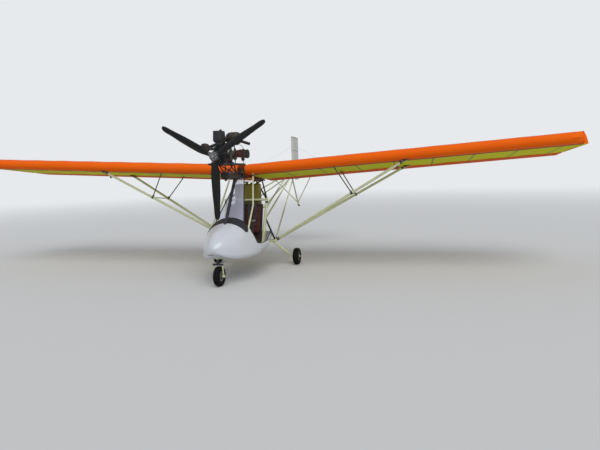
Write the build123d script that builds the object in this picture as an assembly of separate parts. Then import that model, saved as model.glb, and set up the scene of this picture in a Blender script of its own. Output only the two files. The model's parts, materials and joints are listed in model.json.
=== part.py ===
from build123d import *
import os
from math import atan2, cos, degrees, radians, sin, tan

# Strut-braced two-seat ultralight aircraft with its engine ahead of the wing.
# Lengths in millimetres. X points to port, Y points aft and Z up.
# Y stations are written from the propeller's plane, and the finished part is
# shifted so that its origin is under the middle of its box, on the ground.

# Wing
HALF_SPAN = 5080.0
CHORD = 1490.0
WING_LE_Y = 1025.0
WING_LE_Z = 1610.0
INCIDENCE = 5.6
DIHEDRAL = 3.2
WING_THICK = 200.0
CROWN_AT = 0.30
NOSE_RADIUS = 76.0
TE_THICK = 10.0
CLOTH = 3.0
FRONT_SPAR_AT = 0.05
SEAM_AT = 0.17
REAR_SPAR_AT = 0.64
AILERON_FROM_X = 1500.0
AILERON_CHORD = 345.0
TIP_CORNER = 190.0

# Boom and fuselage tubes
BOOM_D = 100.0
BOOM_WALL = 2.5
BOOM_Z = 1590.0
BOOM_FRONT_Y = 320.0
BOOM_REAR_Y = 4640.0
TUBE_WALL = 3.0
PLUG = 30.0
ROOT_GAP = 14.0

# Landing gear
WHEEL_D = 290.0
TYRE_W = 98.0
RIM_D = 140.0
HALF_TRACK = 747.0
MAIN_AXLE_Y = 1627.0
NOSE_AXLE_Y = -30.0
NOSE_TRAIL = 28.0
AXLE_D = 16.0
RUN_CLEAR = 0.06

# Propeller
PROP_R = 905.0
PROP_Z = 1870.0
BLADE_CHORD = 124.0
HUB_R = 62.0
HUB_W = 60.0

# Tail
FIN_LE_Y = 4410.0
RUDDER_POST_Y = 4680.0
RUDDER_TE_Y = 4985.0
FIN_TOP_Z = 2445.0
RUDDER_BOTTOM_Z = 1440.0
FIN_THICK = 44.0
STAB_LE_Y = 3850.0
ELEV_HINGE_Y = 4285.0
ELEV_TE_Y = 4625.0
STAB_HALF = 1180.0
STAB_THICK = 46.0
TAIL_SKID_Y = 4860.0
TAIL_SKID_Z = 800.0

# Pod
POD_WALL = 6.0
POD_NOSE_Y = -200.0
POD_REAR_Y = 1400.0

# Steering head
STEER_Y = NOSE_AXLE_Y - NOSE_TRAIL
STEM_D = 26.0
STEM_HOLE_R = 34.0
CROWN_Z = 322.0
HEAD_LOW_Z = 405.0
HEAD_TOP_Z = 475.0

# Cabin
PANEL_Y = 412.0
STICK_Y = 452.0
SCREEN_T = 3.0
SEAT_T = 8.0
SEAT_HALF = 310.0
SEAT_TOP_Z = 1095.0
CUSHION_W = 290.0
BACK_TALL = 480.0
TANK_HALF = 222.0
TANK_Y = 1328.0
TANK_Z = 1070.0
TANK_DEEP = 140.0
TANK_TALL = 370.0
SHELF_T = 8.0
SHELF_RAIL_D = 18.0
TANK_CORNER = 30.0
TANK_WALL = 4.0

# Engine
SHAFT_R = 20.0
RAIL_X = 120.0
RAIL_Z = 1765.0
RAIL_D = 28.0

# Hinges of the control surfaces
HINGE_GAP = 8.0
HINGE_PIN_D = 10.0
LUG_W = 16.0
LUG_SIDE_GAP = 6.0

WHEEL_R = WHEEL_D / 2
BOOM_R = BOOM_D / 2
ROOT_X = BOOM_R + ROOT_GAP
NOSE_Y = min(POD_NOSE_Y, NOSE_AXLE_Y - WHEEL_R)
SHIFT_Y = -(NOSE_Y + RUDDER_TE_Y) / 2


# Helpers

def at(x, y, z):
    return Vector(x, y, z)


def rod(a, b, d):
    """Round bar of diameter d from point a to point b."""
    axis = b - a
    bar = Cylinder(d / 2, axis.length, align=(Align.CENTER, Align.CENTER, Align.MIN))
    return Plane(origin=a, z_dir=axis) * bar


def tube(a, b, d, wall=TUBE_WALL, plug=PLUG):
    """Round tube from a to b, closed by a solid end fitting of length plug at each end."""
    axis = (b - a).normalized()
    return rod(a, b, d) - rod(a + axis * plug, b - axis * plug, d - 2 * wall)


def tubes(points, d, wall=TUBE_WALL):
    """Tubes along a chain of points, with a round knot at each inner point."""
    shape = tube(points[0], points[1], d, wall)
    for a, b in zip(points[1:-1], points[2:]):
        shape = shape + tube(a, b, d, wall) + Pos(a) * Sphere(d / 2)
    return shape


def flip(shape):
    """The same piece on the starboard side."""
    return mirror(shape, about=Plane.YZ)


def flip_at(p):
    return at(-p.X, p.Y, p.Z)


def fuse(pieces):
    shape = pieces[0]
    for piece in pieces[1:]:
        shape = shape + piece
    return shape


def lerp(a, b, t):
    return a + (b - a) * t


def seated(piece, *carriers):
    """The piece cut to seat on its carriers, without what the cut leaves inside them."""
    for carrier in carriers:
        piece = piece - carrier
    return piece.solids().sort_by(SortBy.VOLUME)[-1]


nodes = {}


def node(name, *shapes):
    """Keeps the solids of one sub-part, moved to the part's own origin."""
    solids = [s for shape in shapes for s in shape.solids()]
    nodes[name] = [Pos(0, SHIFT_Y, 0) * s for s in solids]


# Wing: a section along a slanted span

SPAN_DIR = at(cos(radians(DIHEDRAL)), 0, sin(radians(DIHEDRAL)))
BACK_DIR = at(0, cos(radians(INCIDENCE)), -sin(radians(INCIDENCE)))
UP_DIR = at(0, sin(radians(INCIDENCE)), cos(radians(INCIDENCE)))


def wing_origin(x):
    """Foremost lower corner of the wing's section at the distance x from the centre."""
    return at(x, WING_LE_Y, WING_LE_Z + (x - ROOT_X) * tan(radians(DIHEDRAL)))


def wing_plane(x):
    return Plane(origin=wing_origin(x), x_dir=BACK_DIR, z_dir=at(1, 0, 0))


def wing_point(x, back, up):
    return wing_origin(x) + BACK_DIR * back + UP_DIR * up


def wing_face():
    """Flat underside, round nose and two tangent arcs over the top."""
    turn = radians(105)
    nose_end = (NOSE_RADIUS * (1 + cos(turn)), NOSE_RADIUS * (1 + sin(turn)))
    nose = CenterArc((NOSE_RADIUS, NOSE_RADIUS), NOSE_RADIUS, -90, -(360 - 90 - 105))
    crown = (CROWN_AT * CHORD, WING_THICK)
    front = TangentArc(nose_end, crown, tangent=(sin(turn), -cos(turn)))
    rear = TangentArc(crown, (CHORD, TE_THICK), tangent=front % 1)
    edge = Line((CHORD, TE_THICK), (CHORD, 0))
    floor = Line((CHORD, 0), (NOSE_RADIUS, 0))
    return make_face([nose, front, rear, edge, floor])


def upper_at(back):
    """Height of the wing's upper surface, found by cutting its section."""
    cut = wing_face() & Pos(back, WING_THICK / 2) * Rectangle(0.2, 4 * WING_THICK)
    return cut.bounding_box().max.Y


def band(back_from, back_to, inset=0.0):
    """The part of the section between two chord stations, inset by a wall."""
    width = back_to - back_from
    strip = Pos((back_from + back_to) / 2, 0) * Rectangle(width, 4 * WING_THICK)
    face = wing_face() & strip
    if inset:
        face = offset(face, amount=-inset, kind=Kind.INTERSECTION)
    return face


def along_span(face, x_from, x_to):
    """Carries a section from one span station to another."""
    length = (x_to - x_from) / cos(radians(DIHEDRAL))
    return extrude(wing_plane(x_from) * face, amount=length, dir=SPAN_DIR)


def tip_plan(inset=0.0):
    """Plan of the half wing with its front tip corner rounded, as a tall block."""
    x_tip = HALF_SPAN - inset
    radius = TIP_CORNER - inset
    y_le = WING_LE_Y + inset
    outline = [
        Line((0, y_le - 200), (0, y_le + 2 * CHORD)),
        Line((0, y_le + 2 * CHORD), (x_tip, y_le + 2 * CHORD)),
        Line((x_tip, y_le + 2 * CHORD), (x_tip, y_le + radius)),
        CenterArc((x_tip - radius, y_le + radius), radius, 0, -90),
        Line((x_tip - radius, y_le), (x_tip - radius, y_le - 200)),
        Line((x_tip - radius, y_le - 200), (0, y_le - 200)),
    ]
    return extrude(Pos(0, 0, 1000) * make_face(outline), amount=1500)


HINGE_AT = CHORD - AILERON_CHORD
HINGE_UP = upper_at(HINGE_AT) / 2
HINGE_NOSE_R = HINGE_UP - 2


def cloth_shell(back_from, back_to, x_from, x_to, trim=True):
    outer = along_span(band(back_from, back_to), x_from, x_to)
    inner = along_span(band(back_from, back_to, CLOTH), x_from + CLOTH, x_to - CLOTH)
    if trim:
        outer = outer & tip_plan()
        inner = inner & tip_plan(CLOTH)
    return outer - inner


def hinge_stations(start, end, count):
    """Evenly spread stations between two ends, kept off both ends."""
    step = (end - start) / count
    return [start + step * (i + 0.5) for i in range(count)]


def surface_hinge(origin, axis, back, nose_r, reach):
    """Lug, slot and pin of one hinge: the lug stands forward of the moving nose."""
    frame = Plane(origin=origin, x_dir=back, z_dir=axis)
    lug_r = HINGE_PIN_D
    plate = Pos(-reach / 2, 0) * Rectangle(reach, 2 * lug_r) + Circle(lug_r)
    bore = Circle(HINGE_PIN_D / 2 + RUN_CLEAR)
    lug = frame * extrude(plate - bore, amount=LUG_W / 2, both=True)
    slot_w = LUG_W + 2 * LUG_SIDE_GAP
    deep = lug_r + 8
    slot_face = Pos((deep - 2 * nose_r) / 2, 0) * Rectangle(deep + 2 * nose_r, 4 * nose_r)
    slot = frame * extrude(slot_face, amount=slot_w / 2, both=True)
    pin = frame * extrude(Circle(HINGE_PIN_D / 2), amount=slot_w / 2, both=True)
    return lug, slot, pin


def build_wing():
    sail_end = HINGE_AT - HINGE_NOSE_R - HINGE_GAP
    seam = SEAM_AT * CHORD
    nose = cloth_shell(0, seam, ROOT_X, HALF_SPAN)
    sail = cloth_shell(seam, sail_end, ROOT_X, HALF_SPAN)
    panel = cloth_shell(sail_end, CHORD, ROOT_X, AILERON_FROM_X, trim=False)
    sail = sail + panel

    x_from = AILERON_FROM_X + HINGE_GAP
    tip = HALF_SPAN - 10
    outer = along_span(band(HINGE_AT, CHORD), x_from, tip)
    outer = outer + along_span(Pos(HINGE_AT, HINGE_UP) * Circle(HINGE_NOSE_R), x_from, tip)
    stations = hinge_stations(x_from, tip, 5)
    edges = [x_from] + stations + [tip]
    inner = []
    for i, (a, b) in enumerate(zip(edges[:-1], edges[1:])):
        start = a + (CLOTH if i == 0 else LUG_W + LUG_SIDE_GAP)
        end = b - (CLOTH if i == len(edges) - 2 else LUG_W + LUG_SIDE_GAP)
        inner.append(along_span(band(HINGE_AT + 8, CHORD, CLOTH), start, end))
    aileron = outer - inner
    lugs = []
    for x in stations:
        centre = wing_point(x, HINGE_AT, HINGE_UP)
        reach = HINGE_NOSE_R + HINGE_GAP
        lug, slot, pin = surface_hinge(centre, SPAN_DIR, BACK_DIR, HINGE_NOSE_R, reach)
        aileron = aileron - slot + pin
        lugs.append(lug)
    sail = fuse([sail] + lugs)
    return nose, sail, aileron


# Tubes that carry the aircraft

boom_core = rod(at(0, BOOM_FRONT_Y, BOOM_Z), at(0, BOOM_REAR_Y, BOOM_Z), BOOM_D)
BOOM_TOP = BOOM_Z + BOOM_R
BOOM_LOW = BOOM_Z - BOOM_R

STRUT_D = 42.0
FRAME_D = 36.0
GEAR_NODE = at(395, 1515, 440)
STRUT_TOP_X = 2635.0
EYE_DOWN = 150.0
EYE_DROP = 42.0
EYE_R = 18.0
EYE_HOLE_R = 7.0
EYE_T = 8.0
KNOT_D = 80.0
POST_D = 48.0
POST_TOP = at(0, 790, BOOM_Z)
POST_FOOT = at(0, -10, 450)
UPRIGHT_FOOT = at(322, 1040, 480)
UPRIGHT_TOP = at(366, 1225, 1175)
DOOR_SPIKE = at(309, 436, 798)
POST_BEND = at(273, 784, 1110)
POST_HEAD = at(185, 1100, 1640)
SCREEN_TOP = at(60, 1010, 1530)
SCREEN_SIDE = at(233, 452, 873)
SCREEN_RISE = 47.0
PAN_TUBE = at(300, 520, 428)
CABANE_ENDS = [(1760, 1492), (2110, 1484)]


def build_boom():
    return tube(at(0, BOOM_FRONT_Y, BOOM_Z), at(0, BOOM_REAR_Y, BOOM_Z), BOOM_D, BOOM_WALL, 12)


def build_root_fittings():
    """Collars round the boom whose plates meet the root ribs at both spars."""
    shapes = []
    for share in (FRONT_SPAR_AT, REAR_SPAR_AT):
        middle = wing_point(ROOT_X, share * CHORD, upper_at(share * CHORD) / 2)
        collar = Pos(0, middle.Y, BOOM_Z) * Rot(90, 0, 0) * Cylinder(BOOM_R + 5, 60)
        low, high = min(middle.Z, BOOM_Z) - 30, max(middle.Z, BOOM_Z) + 30
        plate = Pos(0, middle.Y, (low + high) / 2) * Box(2 * ROOT_X, 60, high - low)
        shapes.append(collar + plate - boom_core)
    (y0, z0), (y1, z1) = CABANE_ENDS
    keel = make_face(Polyline((y0 - 70, BOOM_LOW + 8), (y0 - 25, z0 - 20), (y1 + 25, z1 - 20),
                              (y1 + 70, BOOM_LOW + 8), close=True))
    return fuse([shapes[1], extrude(Plane.YZ * keel, amount=7, both=True) - boom_core]), shapes[0]


def build_tie_down_lug():
    """Flat lug under the front strut near its head, with the hole for a tie-down shackle."""
    front_top = wing_point(STRUT_TOP_X, FRONT_SPAR_AT * CHORD, 0)
    carrier = front_top + (GEAR_NODE - front_top).normalized() * EYE_DOWN
    low = carrier - at(0, 0, EYE_DROP)
    plate = Pos(low.X, low.Z + EYE_DROP / 2) * Rectangle(2 * EYE_R, EYE_DROP) + Pos(low.X, low.Z) * Circle(EYE_R)
    hole = Pos(low.X, low.Z) * Circle(EYE_HOLE_R)
    return Plane(origin=(0, low.Y, 0), x_dir=(1, 0, 0), z_dir=(0, -1, 0)) * extrude(plate - hole, amount=EYE_T / 2, both=True)


def build_lift_struts():
    """Two lift struts from the gear node to the spars, held in mid span by jury struts."""
    pieces = []
    for share in (FRONT_SPAR_AT, REAR_SPAR_AT):
        top = wing_point(STRUT_TOP_X, share * CHORD, 0)
        pieces.append(tube(GEAR_NODE, top + (top - GEAR_NODE).normalized() * 20, STRUT_D))
    feet = [lerp(GEAR_NODE, wing_point(STRUT_TOP_X, s * CHORD, 0), 0.62)
            for s in (FRONT_SPAR_AT, REAR_SPAR_AT)]
    jury_top_x = lerp(GEAR_NODE.X, STRUT_TOP_X, 0.50)
    for foot, share in zip(feet, (FRONT_SPAR_AT + 0.04, REAR_SPAR_AT)):
        pieces.append(rod(foot, wing_point(jury_top_x, share * CHORD, 8), 18))
    pieces.append(rod(feet[0], feet[1], 18))
    return fuse(pieces)


def build_tail_stays():
    ends = [
        (GEAR_NODE, at(0, 4560, BOOM_Z)),
        (lerp(UPRIGHT_FOOT, UPRIGHT_TOP, 0.80), at(0, 3990, BOOM_Z)),
        (lerp(UPRIGHT_FOOT, UPRIGHT_TOP, 0.52), at(0, 4380, BOOM_Z)),
    ]
    return [tube(a, b, 28, 2.5) for a, b in ends]


def build_front_post():
    return tube(POST_TOP, POST_FOOT, POST_D)


SHELF_BEAM_Z = TANK_Z - SHELF_T - SHELF_RAIL_D / 3


def upright_at(z):
    """The point at a height on the line of the upright."""
    return lerp(UPRIGHT_FOOT, UPRIGHT_TOP, (z - UPRIGHT_FOOT.Z) / (UPRIGHT_TOP.Z - UPRIGHT_FOOT.Z))


def build_cockpit_frame(hollow):
    """Pale tubes: uprights, longerons, cross tubes and the knots the struts bolt to."""
    side = [
        tubes([at(150, -20, 432), PAN_TUBE, UPRIGHT_FOOT, GEAR_NODE], FRAME_D),
        tube(UPRIGHT_FOOT, UPRIGHT_TOP, STRUT_D),
        tube(at(UPRIGHT_FOOT.X, UPRIGHT_FOOT.Y + 80, UPRIGHT_FOOT.Z), UPRIGHT_TOP, 30),
        Pos(GEAR_NODE) * Sphere(KNOT_D / 2),
        Pos(UPRIGHT_TOP) * Sphere(STRUT_D / 2 + 4),
        Pos(UPRIGHT_FOOT) * Sphere(STRUT_D / 2),
    ]
    cross = [
        tube(GEAR_NODE, flip_at(GEAR_NODE), 45),
        tube(UPRIGHT_FOOT, flip_at(UPRIGHT_FOOT), FRAME_D),
        tube(UPRIGHT_TOP, flip_at(UPRIGHT_TOP), FRAME_D),
        tube(upright_at(SHELF_BEAM_Z), flip_at(upright_at(SHELF_BEAM_Z)), 30),
        tube(at(150, -20, 432), at(-150, -20, 432), FRAME_D),
        tube(PAN_TUBE, flip_at(PAN_TUBE), FRAME_D),
    ]
    half = fuse(side)
    head = rod(at(0, STEER_Y, HEAD_LOW_Z), at(0, STEER_Y, HEAD_TOP_Z), 48)
    bore = rod(at(0, STEER_Y, HEAD_LOW_Z - 50), at(0, STEER_Y, HEAD_TOP_Z + 50),
               STEM_D + 2 * RUN_CLEAR)
    cleats = [rod(at(x, foot.Y, foot.Z), at(x, foot.Y, 350), 30) & hollow
              for x in (-200, 200) for foot in (PAN_TUBE, UPRIGHT_FOOT)]
    beam = upright_at(SHELF_BEAM_Z)
    rails = [rod(at(x, beam.Y, beam.Z), at(x, TANK_Y + TANK_DEEP / 2, beam.Z), SHELF_RAIL_D) for x in (-120, 120)]
    shelf = Pos(0, TANK_Y, TANK_Z - SHELF_T / 2) * Box(2 * TANK_HALF, TANK_DEEP, SHELF_T)
    return fuse([half, flip(half)] + cross + [head] + cleats + rails + [shelf]) - bore


def build_cabane():
    """Dark tubes from the head of an upright to the keel plate under the boom."""
    return fuse([tube(UPRIGHT_TOP, at(0, y, z), 26) for y, z in CABANE_ENDS])


def build_door_posts():
    """Pale door posts from the pod to the wing's front spar, one on each side."""
    return tubes([DOOR_SPIKE - (POST_BEND - DOOR_SPIKE) * 0.08, POST_BEND, POST_HEAD], 26)


MOUNT_CROSS_Y = (95.0, 432.0, 890.0)
MOUNT_COLLAR_Y = (392.0, 866.0)
MOUNT_BRACES = [
    # y on the rail, y on the boom
    (112, 380),
    (420, 404),
    (444, 852),
    (886, 874),
]


def build_engine_mount():
    """Black truss on the boom: two bed rails, cross tubes, collars and diagonals."""
    front, _, rear = MOUNT_CROSS_Y
    rails = [rod(at(x, front - 22, RAIL_Z), at(x, rear + 22, RAIL_Z), RAIL_D) for x in (-RAIL_X, RAIL_X)]
    cross = [rod(at(RAIL_X, y, RAIL_Z), at(-RAIL_X, y, RAIL_Z), RAIL_D - 4) for y in MOUNT_CROSS_Y]
    collars = [Pos(0, y, BOOM_Z) * Rot(90, 0, 0) * Cylinder(BOOM_R + 6, 50) for y in MOUNT_COLLAR_Y]
    braces = [rod(at(side * RAIL_X, up, RAIL_Z), at(0, low, BOOM_Z + 8), 20)
              for up, low in MOUNT_BRACES for side in (-1, 1)]
    return fuse(rails + cross + collars + braces) - boom_core


# Pod, coaming, panel and windscreen

POD_HALF = 457.0
POD_FLOOR_Z = 355.0
POD_NOSE_Z = 560.0
POD_FULL_Y = 560.0
POD_FLOOR_Y = 300.0
POD_CROWN = 535.0
POD_CROWN_Y = 900.0
POD_AFT_HALF = 372.0
POD_AFT_FLOOR_Z = 462.0
POD_RISE_Y = 900.0
POD_WIDE_AT = 0.164
POD_TIGHT = 0.95
POD_STATIONS = [0.0, 0.006, 0.02, 0.05, 0.10, 0.17, 0.26, 0.37, 0.50, 0.64, 0.81, 1.0]
RIM_Y = 465.0
RIM_CURVE = 29.0
RIM_X = 309.0
BORDER_Y = 292.0
BORDER_CURVE = -35.0
COAMING_T = 5.0
DOOR_SILL_Z = 566.0
SLIT_Z = 478.0
BAND_LOW_Z = 745.0


def swell(share, bluntness, fullness):
    """Rises from 0 to 1 like the side of an egg as share goes from 0 to 1."""
    share = min(max(share, 0.0008), 1.0)
    return (1 - (1 - share) ** bluntness) ** (1 / fullness)


def arch(half, rise, turn):
    """Half of a dome in three arcs: tight shoulders and a gentle crown, or the other way if tall.

    Returns the edges from (half, 0) over (0, rise) to (-half, 0), for turn 1, or below for turn -1.
    """
    small = POD_TIGHT * min(half, rise)
    if half >= rise:
        side, crown = small, (half ** 2 - 2 * half * small + rise ** 2) / (2 * (rise - small))
        angle = degrees(atan2(crown - rise, half - side))
    else:
        side, crown = (half ** 2 + rise ** 2 - 2 * rise * small) / (2 * (half - small)), small
        angle = degrees(atan2(rise - crown, side - half))
    return [CenterArc((half - side, 0), side, 0, turn * angle),
            CenterArc((0, turn * (rise - crown)), crown, turn * angle, turn * (180 - 2 * angle)),
            CenterArc((side - half, 0), side, 180 - turn * angle, turn * angle)]


def pod_section(y, half, low, high, inset):
    """Section across the Y axis: flat floor, tight lower corners and a high round back."""
    wide_z = low + (high - low) * POD_WIDE_AT
    edges = arch(half - inset, high - wide_z - inset, 1) + arch(half - inset, wide_z - low - inset, -1)
    return Plane(origin=(0, y, wide_z), x_dir=(1, 0, 0), z_dir=(0, -1, 0)) * make_face(edges)


def pod_crown(y):
    """Height of the dome's ridge at a station."""
    return POD_NOSE_Z + POD_CROWN * swell((y - POD_NOSE_Y) / (POD_CROWN_Y - POD_NOSE_Y), 1.0, 1.6)


def pod_form(inset):
    """Loaf-shaped nose, then a tub that narrows to the gear's cross tube."""
    stations = [POD_NOSE_Y + (POD_FULL_Y - POD_NOSE_Y) * share for share in POD_STATIONS]
    faces = []
    for y, share in zip(stations, POD_STATIONS):
        half = POD_HALF * swell(share, 1.4, 1.6)
        low = POD_NOSE_Z - (POD_NOSE_Z - POD_FLOOR_Z) * swell((y - POD_NOSE_Y) / (POD_FLOOR_Y - POD_NOSE_Y), 2.0, 2.0)
        if min(half, pod_crown(y) - low) > 4 * inset + 5:
            faces.append(pod_section(y, half, low, pod_crown(y), inset))
    back = POD_REAR_Y - POD_RISE_Y
    for y in (POD_RISE_Y, 1100.0, 1250.0, POD_REAR_Y):
        share = (y - POD_RISE_Y) / back
        half = POD_HALF + (POD_AFT_HALF - POD_HALF) * share
        low = POD_FLOOR_Z + (POD_AFT_FLOOR_Z - POD_FLOOR_Z) * share ** 1.5
        faces.append(pod_section(y - (inset if y == POD_REAR_Y else 0), half, low, pod_crown(POD_CROWN_Y), inset))
    return loft(faces, ruled=True)


def behind(mid, curve):
    """Tall block behind an arc that crosses the pod at mid and stands curve forward at its sides."""
    wide = 2 * POD_HALF
    side = mid - curve * (wide / RIM_X) ** 2
    edge = ThreePointArc((-wide, side), (0, mid), (wide, side))
    back = Polyline((wide, side), (wide, 2000), (-wide, 2000), (-wide, side))
    return Pos(0, 0, 300) * extrude(make_face([edge, back]), amount=1400)


def above_doors():
    """Side view of the cockpit opening, carried right across."""
    notch = (463.0, DOOR_SILL_Z)
    outline = Polyline((RIM_Y - 3 * RIM_CURVE, 1600), (DOOR_SPIKE.Y - 10, DOOR_SPIKE.Z), notch,
                       (560, DOOR_SILL_Z - 26), (840, DOOR_SILL_Z - 26), (UPRIGHT_FOOT.Y, DOOR_SILL_Z + 25),
                       (POD_REAR_Y + 20, DOOR_SILL_Z + 60), (POD_REAR_Y + 20, 1600), close=True)
    return extrude(Plane.YZ * make_face(outline), amount=900, both=True)


def build_pod(form, hollow, opening):
    """White tub with its stem hole, post hole and the small cooling slit low on the nose."""
    stem_hole = Pos(0, STEER_Y, 300) * Cylinder(STEM_HOLE_R, 300)
    post_hole = rod(POST_FOOT, POST_TOP, POST_D)
    slit = Pos(-60, POD_NOSE_Y + 20, SLIT_Z) * Box(110, 160, 12)
    tub = form - opening
    return (tub - hollow - stem_hole - post_hole - slit).solids().sort_by(SortBy.VOLUME)[-1]


def build_coaming(form):
    """Dark band on the pod's back, ahead of the cockpit opening."""
    skin = pod_form(-COAMING_T) - form
    strip = behind(BORDER_Y, BORDER_CURVE) - behind(RIM_Y, RIM_CURVE)
    keep = Pos(0, 300, BAND_LOW_Z) * Box(1200, 1200, 600, align=(Align.CENTER, Align.CENTER, Align.MIN))
    return (skin & strip & keep).solids().sort_by(SortBy.VOLUME)[-1]


DIALS = [
    # x, z, outer radius
    (-150, 800, 44),
    (-45, 800, 44),
    (60, 800, 44),
    (160, 800, 38),
    (-95, 722, 30),
    (0, 722, 30),
    (95, 722, 30),
]


def build_panel(hollow, post_hole):
    """Instrument board under the coaming, with round dials in rows."""
    board = (Pos(0, PANEL_Y, 770) * Box(900, 8, 190)) & hollow
    dials = []
    for x, z, radius in DIALS:
        spot = Pos(x, PANEL_Y, z) * Rot(90, 0, 0)
        board = board - spot * Cylinder(radius - 4, 60)
        ring = Cylinder(radius, 14) - Cylinder(radius - 4, 14)
        dials.append(spot * (ring + Cylinder(radius - 4, 5)))
    return fuse([board] + dials) - post_hole


def screen_section(share):
    """Thin arch across the screen, at a share of the way from the coaming to the boom."""
    foot = at(0, SCREEN_SIDE.Y, SCREEN_SIDE.Z)
    head = at(0, SCREEN_TOP.Y, SCREEN_TOP.Z)
    half = SCREEN_SIDE.X + (SCREEN_TOP.X - SCREEN_SIDE.X) * share
    rise = SCREEN_RISE * half / SCREEN_SIDE.X
    outer = ThreePointArc((-half, 0), (0, -rise), (half, 0))
    inner = ThreePointArc((-half, SCREEN_T), (0, SCREEN_T - rise), (half, SCREEN_T))
    strip = make_face([outer, inner, Line(outer @ 0, inner @ 0), Line(outer @ 1, inner @ 1)])
    return Plane(origin=lerp(foot, head, share), x_dir=(1, 0, 0), z_dir=head - foot) * strip


def build_windscreen():
    """Single-curved clear sheet from the coaming up to the boom, leaning back."""
    return loft([screen_section(-0.15), screen_section(1.0)], ruled=True) - pod_form(-COAMING_T)


def build_screen_edges():
    """Black edge tubes of the windscreen, from the coaming to the boom."""
    reach = (SCREEN_TOP - SCREEN_SIDE).normalized()
    return rod(SCREEN_SIDE - reach * 12, SCREEN_TOP + reach * 40, 18)


def build_seat(frame):
    """Bent seat sheet on three cross tubes, with a rolled front edge."""
    base_z = PAN_TUBE.Z + FRAME_D / 2 + SEAT_T / 2
    slope = (UPRIGHT_TOP - UPRIGHT_FOOT).normalized()
    ahead = at(0, -slope.Z, slope.Y) * (FRAME_D / 2 + SEAT_T / 2)
    lower = lerp(UPRIGHT_FOOT, UPRIGHT_TOP, -0.02) + ahead
    upper = upright_at(SEAT_TOP_Z) + ahead
    path = FilletPolyline((PAN_TUBE.Y - 34, base_z - 34), (PAN_TUBE.Y - 34, base_z),
                          (lower.Y, base_z), (upper.Y, upper.Z), radius=24)
    side = make_face(offset(Wire(path.edges()), amount=SEAT_T / 2, side=Side.BOTH))
    return seated(extrude(Plane.YZ * side, amount=SEAT_HALF, both=True), frame)


def build_cushions(seat):
    """Two squabs and two back cushions, plain blocks with rounded edges."""
    base_z = PAN_TUBE.Z + FRAME_D / 2 + SEAT_T
    slope = (UPRIGHT_TOP - UPRIGHT_FOOT).normalized()
    tilt = degrees(atan2(slope.Y, slope.Z))
    squab = fillet(Box(CUSHION_W, 370, 80).edges(), 26)
    back = fillet(Box(CUSHION_W, 70, BACK_TALL).edges(), 26)
    lower = upright_at(SEAT_TOP_Z - 20 - BACK_TALL / 2)
    off = FRAME_D / 2 + SEAT_T + 35.5
    middle = at(0, lower.Y - slope.Z * off, lower.Z + slope.Y * off)
    squabs = []
    backs = []
    for x in (-CUSHION_W / 2 - 8, CUSHION_W / 2 + 8):
        squabs.append(Pos(x, PAN_TUBE.Y + 192, base_z + 40.5) * squab)
        backs.append(Pos(x, middle.Y, middle.Z) * Rot(-tilt, 0, 0) * back)
    return squabs, backs


def build_tank():
    """Translucent fuel tank on a shelf behind the seats, with its filler neck."""
    outer = fillet(Box(2 * TANK_HALF, TANK_DEEP, TANK_TALL).edges(), TANK_CORNER)
    inside = Box(2 * (TANK_HALF - TANK_WALL), TANK_DEEP - 2 * TANK_WALL, TANK_TALL - 2 * TANK_WALL)
    inside = fillet(inside.edges(), TANK_CORNER - TANK_WALL)
    top = TANK_TALL / 2
    neck = Pos(0, -40, top) * Cylinder(26, 30, align=(Align.CENTER, Align.CENTER, Align.MIN))
    cap = Pos(0, -40, top + 25) * Cylinder(34, 20, align=(Align.CENTER, Align.CENTER, Align.MIN))
    return Pos(0, TANK_Y, TANK_Z + top) * (outer - inside + neck + cap)


def build_controls(hollow):
    """Central stick and two pairs of pedals on the floor."""
    floor = POD_FLOOR_Z + POD_WALL
    base = Box(60, 60, 50, align=(Align.CENTER, Align.CENTER, Align.MIN))
    stick = rod(at(0, STICK_Y, floor), at(0, STICK_Y + 8, 760), 22)
    stick = stick + rod(at(0, STICK_Y + 8, 700), at(0, STICK_Y + 14, 830), 32)
    foot = Pos(0, STICK_Y, floor) * Cylinder(26, 36, align=(Align.CENTER, Align.CENTER, Align.MIN))
    pedals = []
    for x in (-255, -125, 125, 255):
        pedals.append(rod(at(x, 210, floor + 2), at(x, 190, 520), 14))
        pedals.append(rod(at(x - 42, 190, 520), at(x + 42, 190, 520), 22))
        pedals.append((Pos(x, 210, floor - 20) * base) & hollow)
    return [(stick + foot) & hollow] + [fuse(pedals[i:i + 3]) & hollow for i in range(0, len(pedals), 3)]


PORT_Y = (225.0, 385.0)
CASE_Z = (1779.0, 1945.0)
FINS = 9
FIN_PITCH = 12.0


def build_engine_block():
    """Upright two-cylinder two-stroke: feet, crankcase, finned barrels and heads."""
    low, high = CASE_Z
    case = Pos(0, 305, (low + high) / 2) * fillet(Box(190, 320, high - low).edges().filter_by(Axis.Y), 40)
    flange = Pos(0, 305, PROP_Z) * Box(216, 330, 14)
    feet = [Pos(x, y, low + 1) * Box(50, 60, 30) for x in (-105, 105) for y in (200, 400)]
    ports = [Pos(-59, y, 1985) * Box(38, 60, 60) for y in PORT_Y]
    shape = fuse([case, flange] + feet + ports)
    top = high
    for y in PORT_Y:
        barrel = Pos(0, y, top) * Cylinder(46, FINS * FIN_PITCH, align=(Align.CENTER, Align.CENTER, Align.MIN))
        shape = shape + barrel
        for i in range(FINS):
            shape = shape + Pos(0, y, top + FIN_PITCH * (i + 0.6)) * Box(140, 136, 4)
        head = Pos(0, y, top + FINS * FIN_PITCH) * Cylinder(52, 26, align=(Align.CENTER, Align.CENTER, Align.MIN))
        plug = Pos(0, y, top + FINS * FIN_PITCH) * Cylinder(10, 44, align=(Align.CENTER, Align.CENTER, Align.MIN))
        shape = shape + head + plug
    magneto = Pos(0, 465, PROP_Z) * Rot(-90, 0, 0) * Cylinder(78, 70, align=(Align.CENTER, Align.CENTER, Align.MIN))
    return shape + magneto


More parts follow.
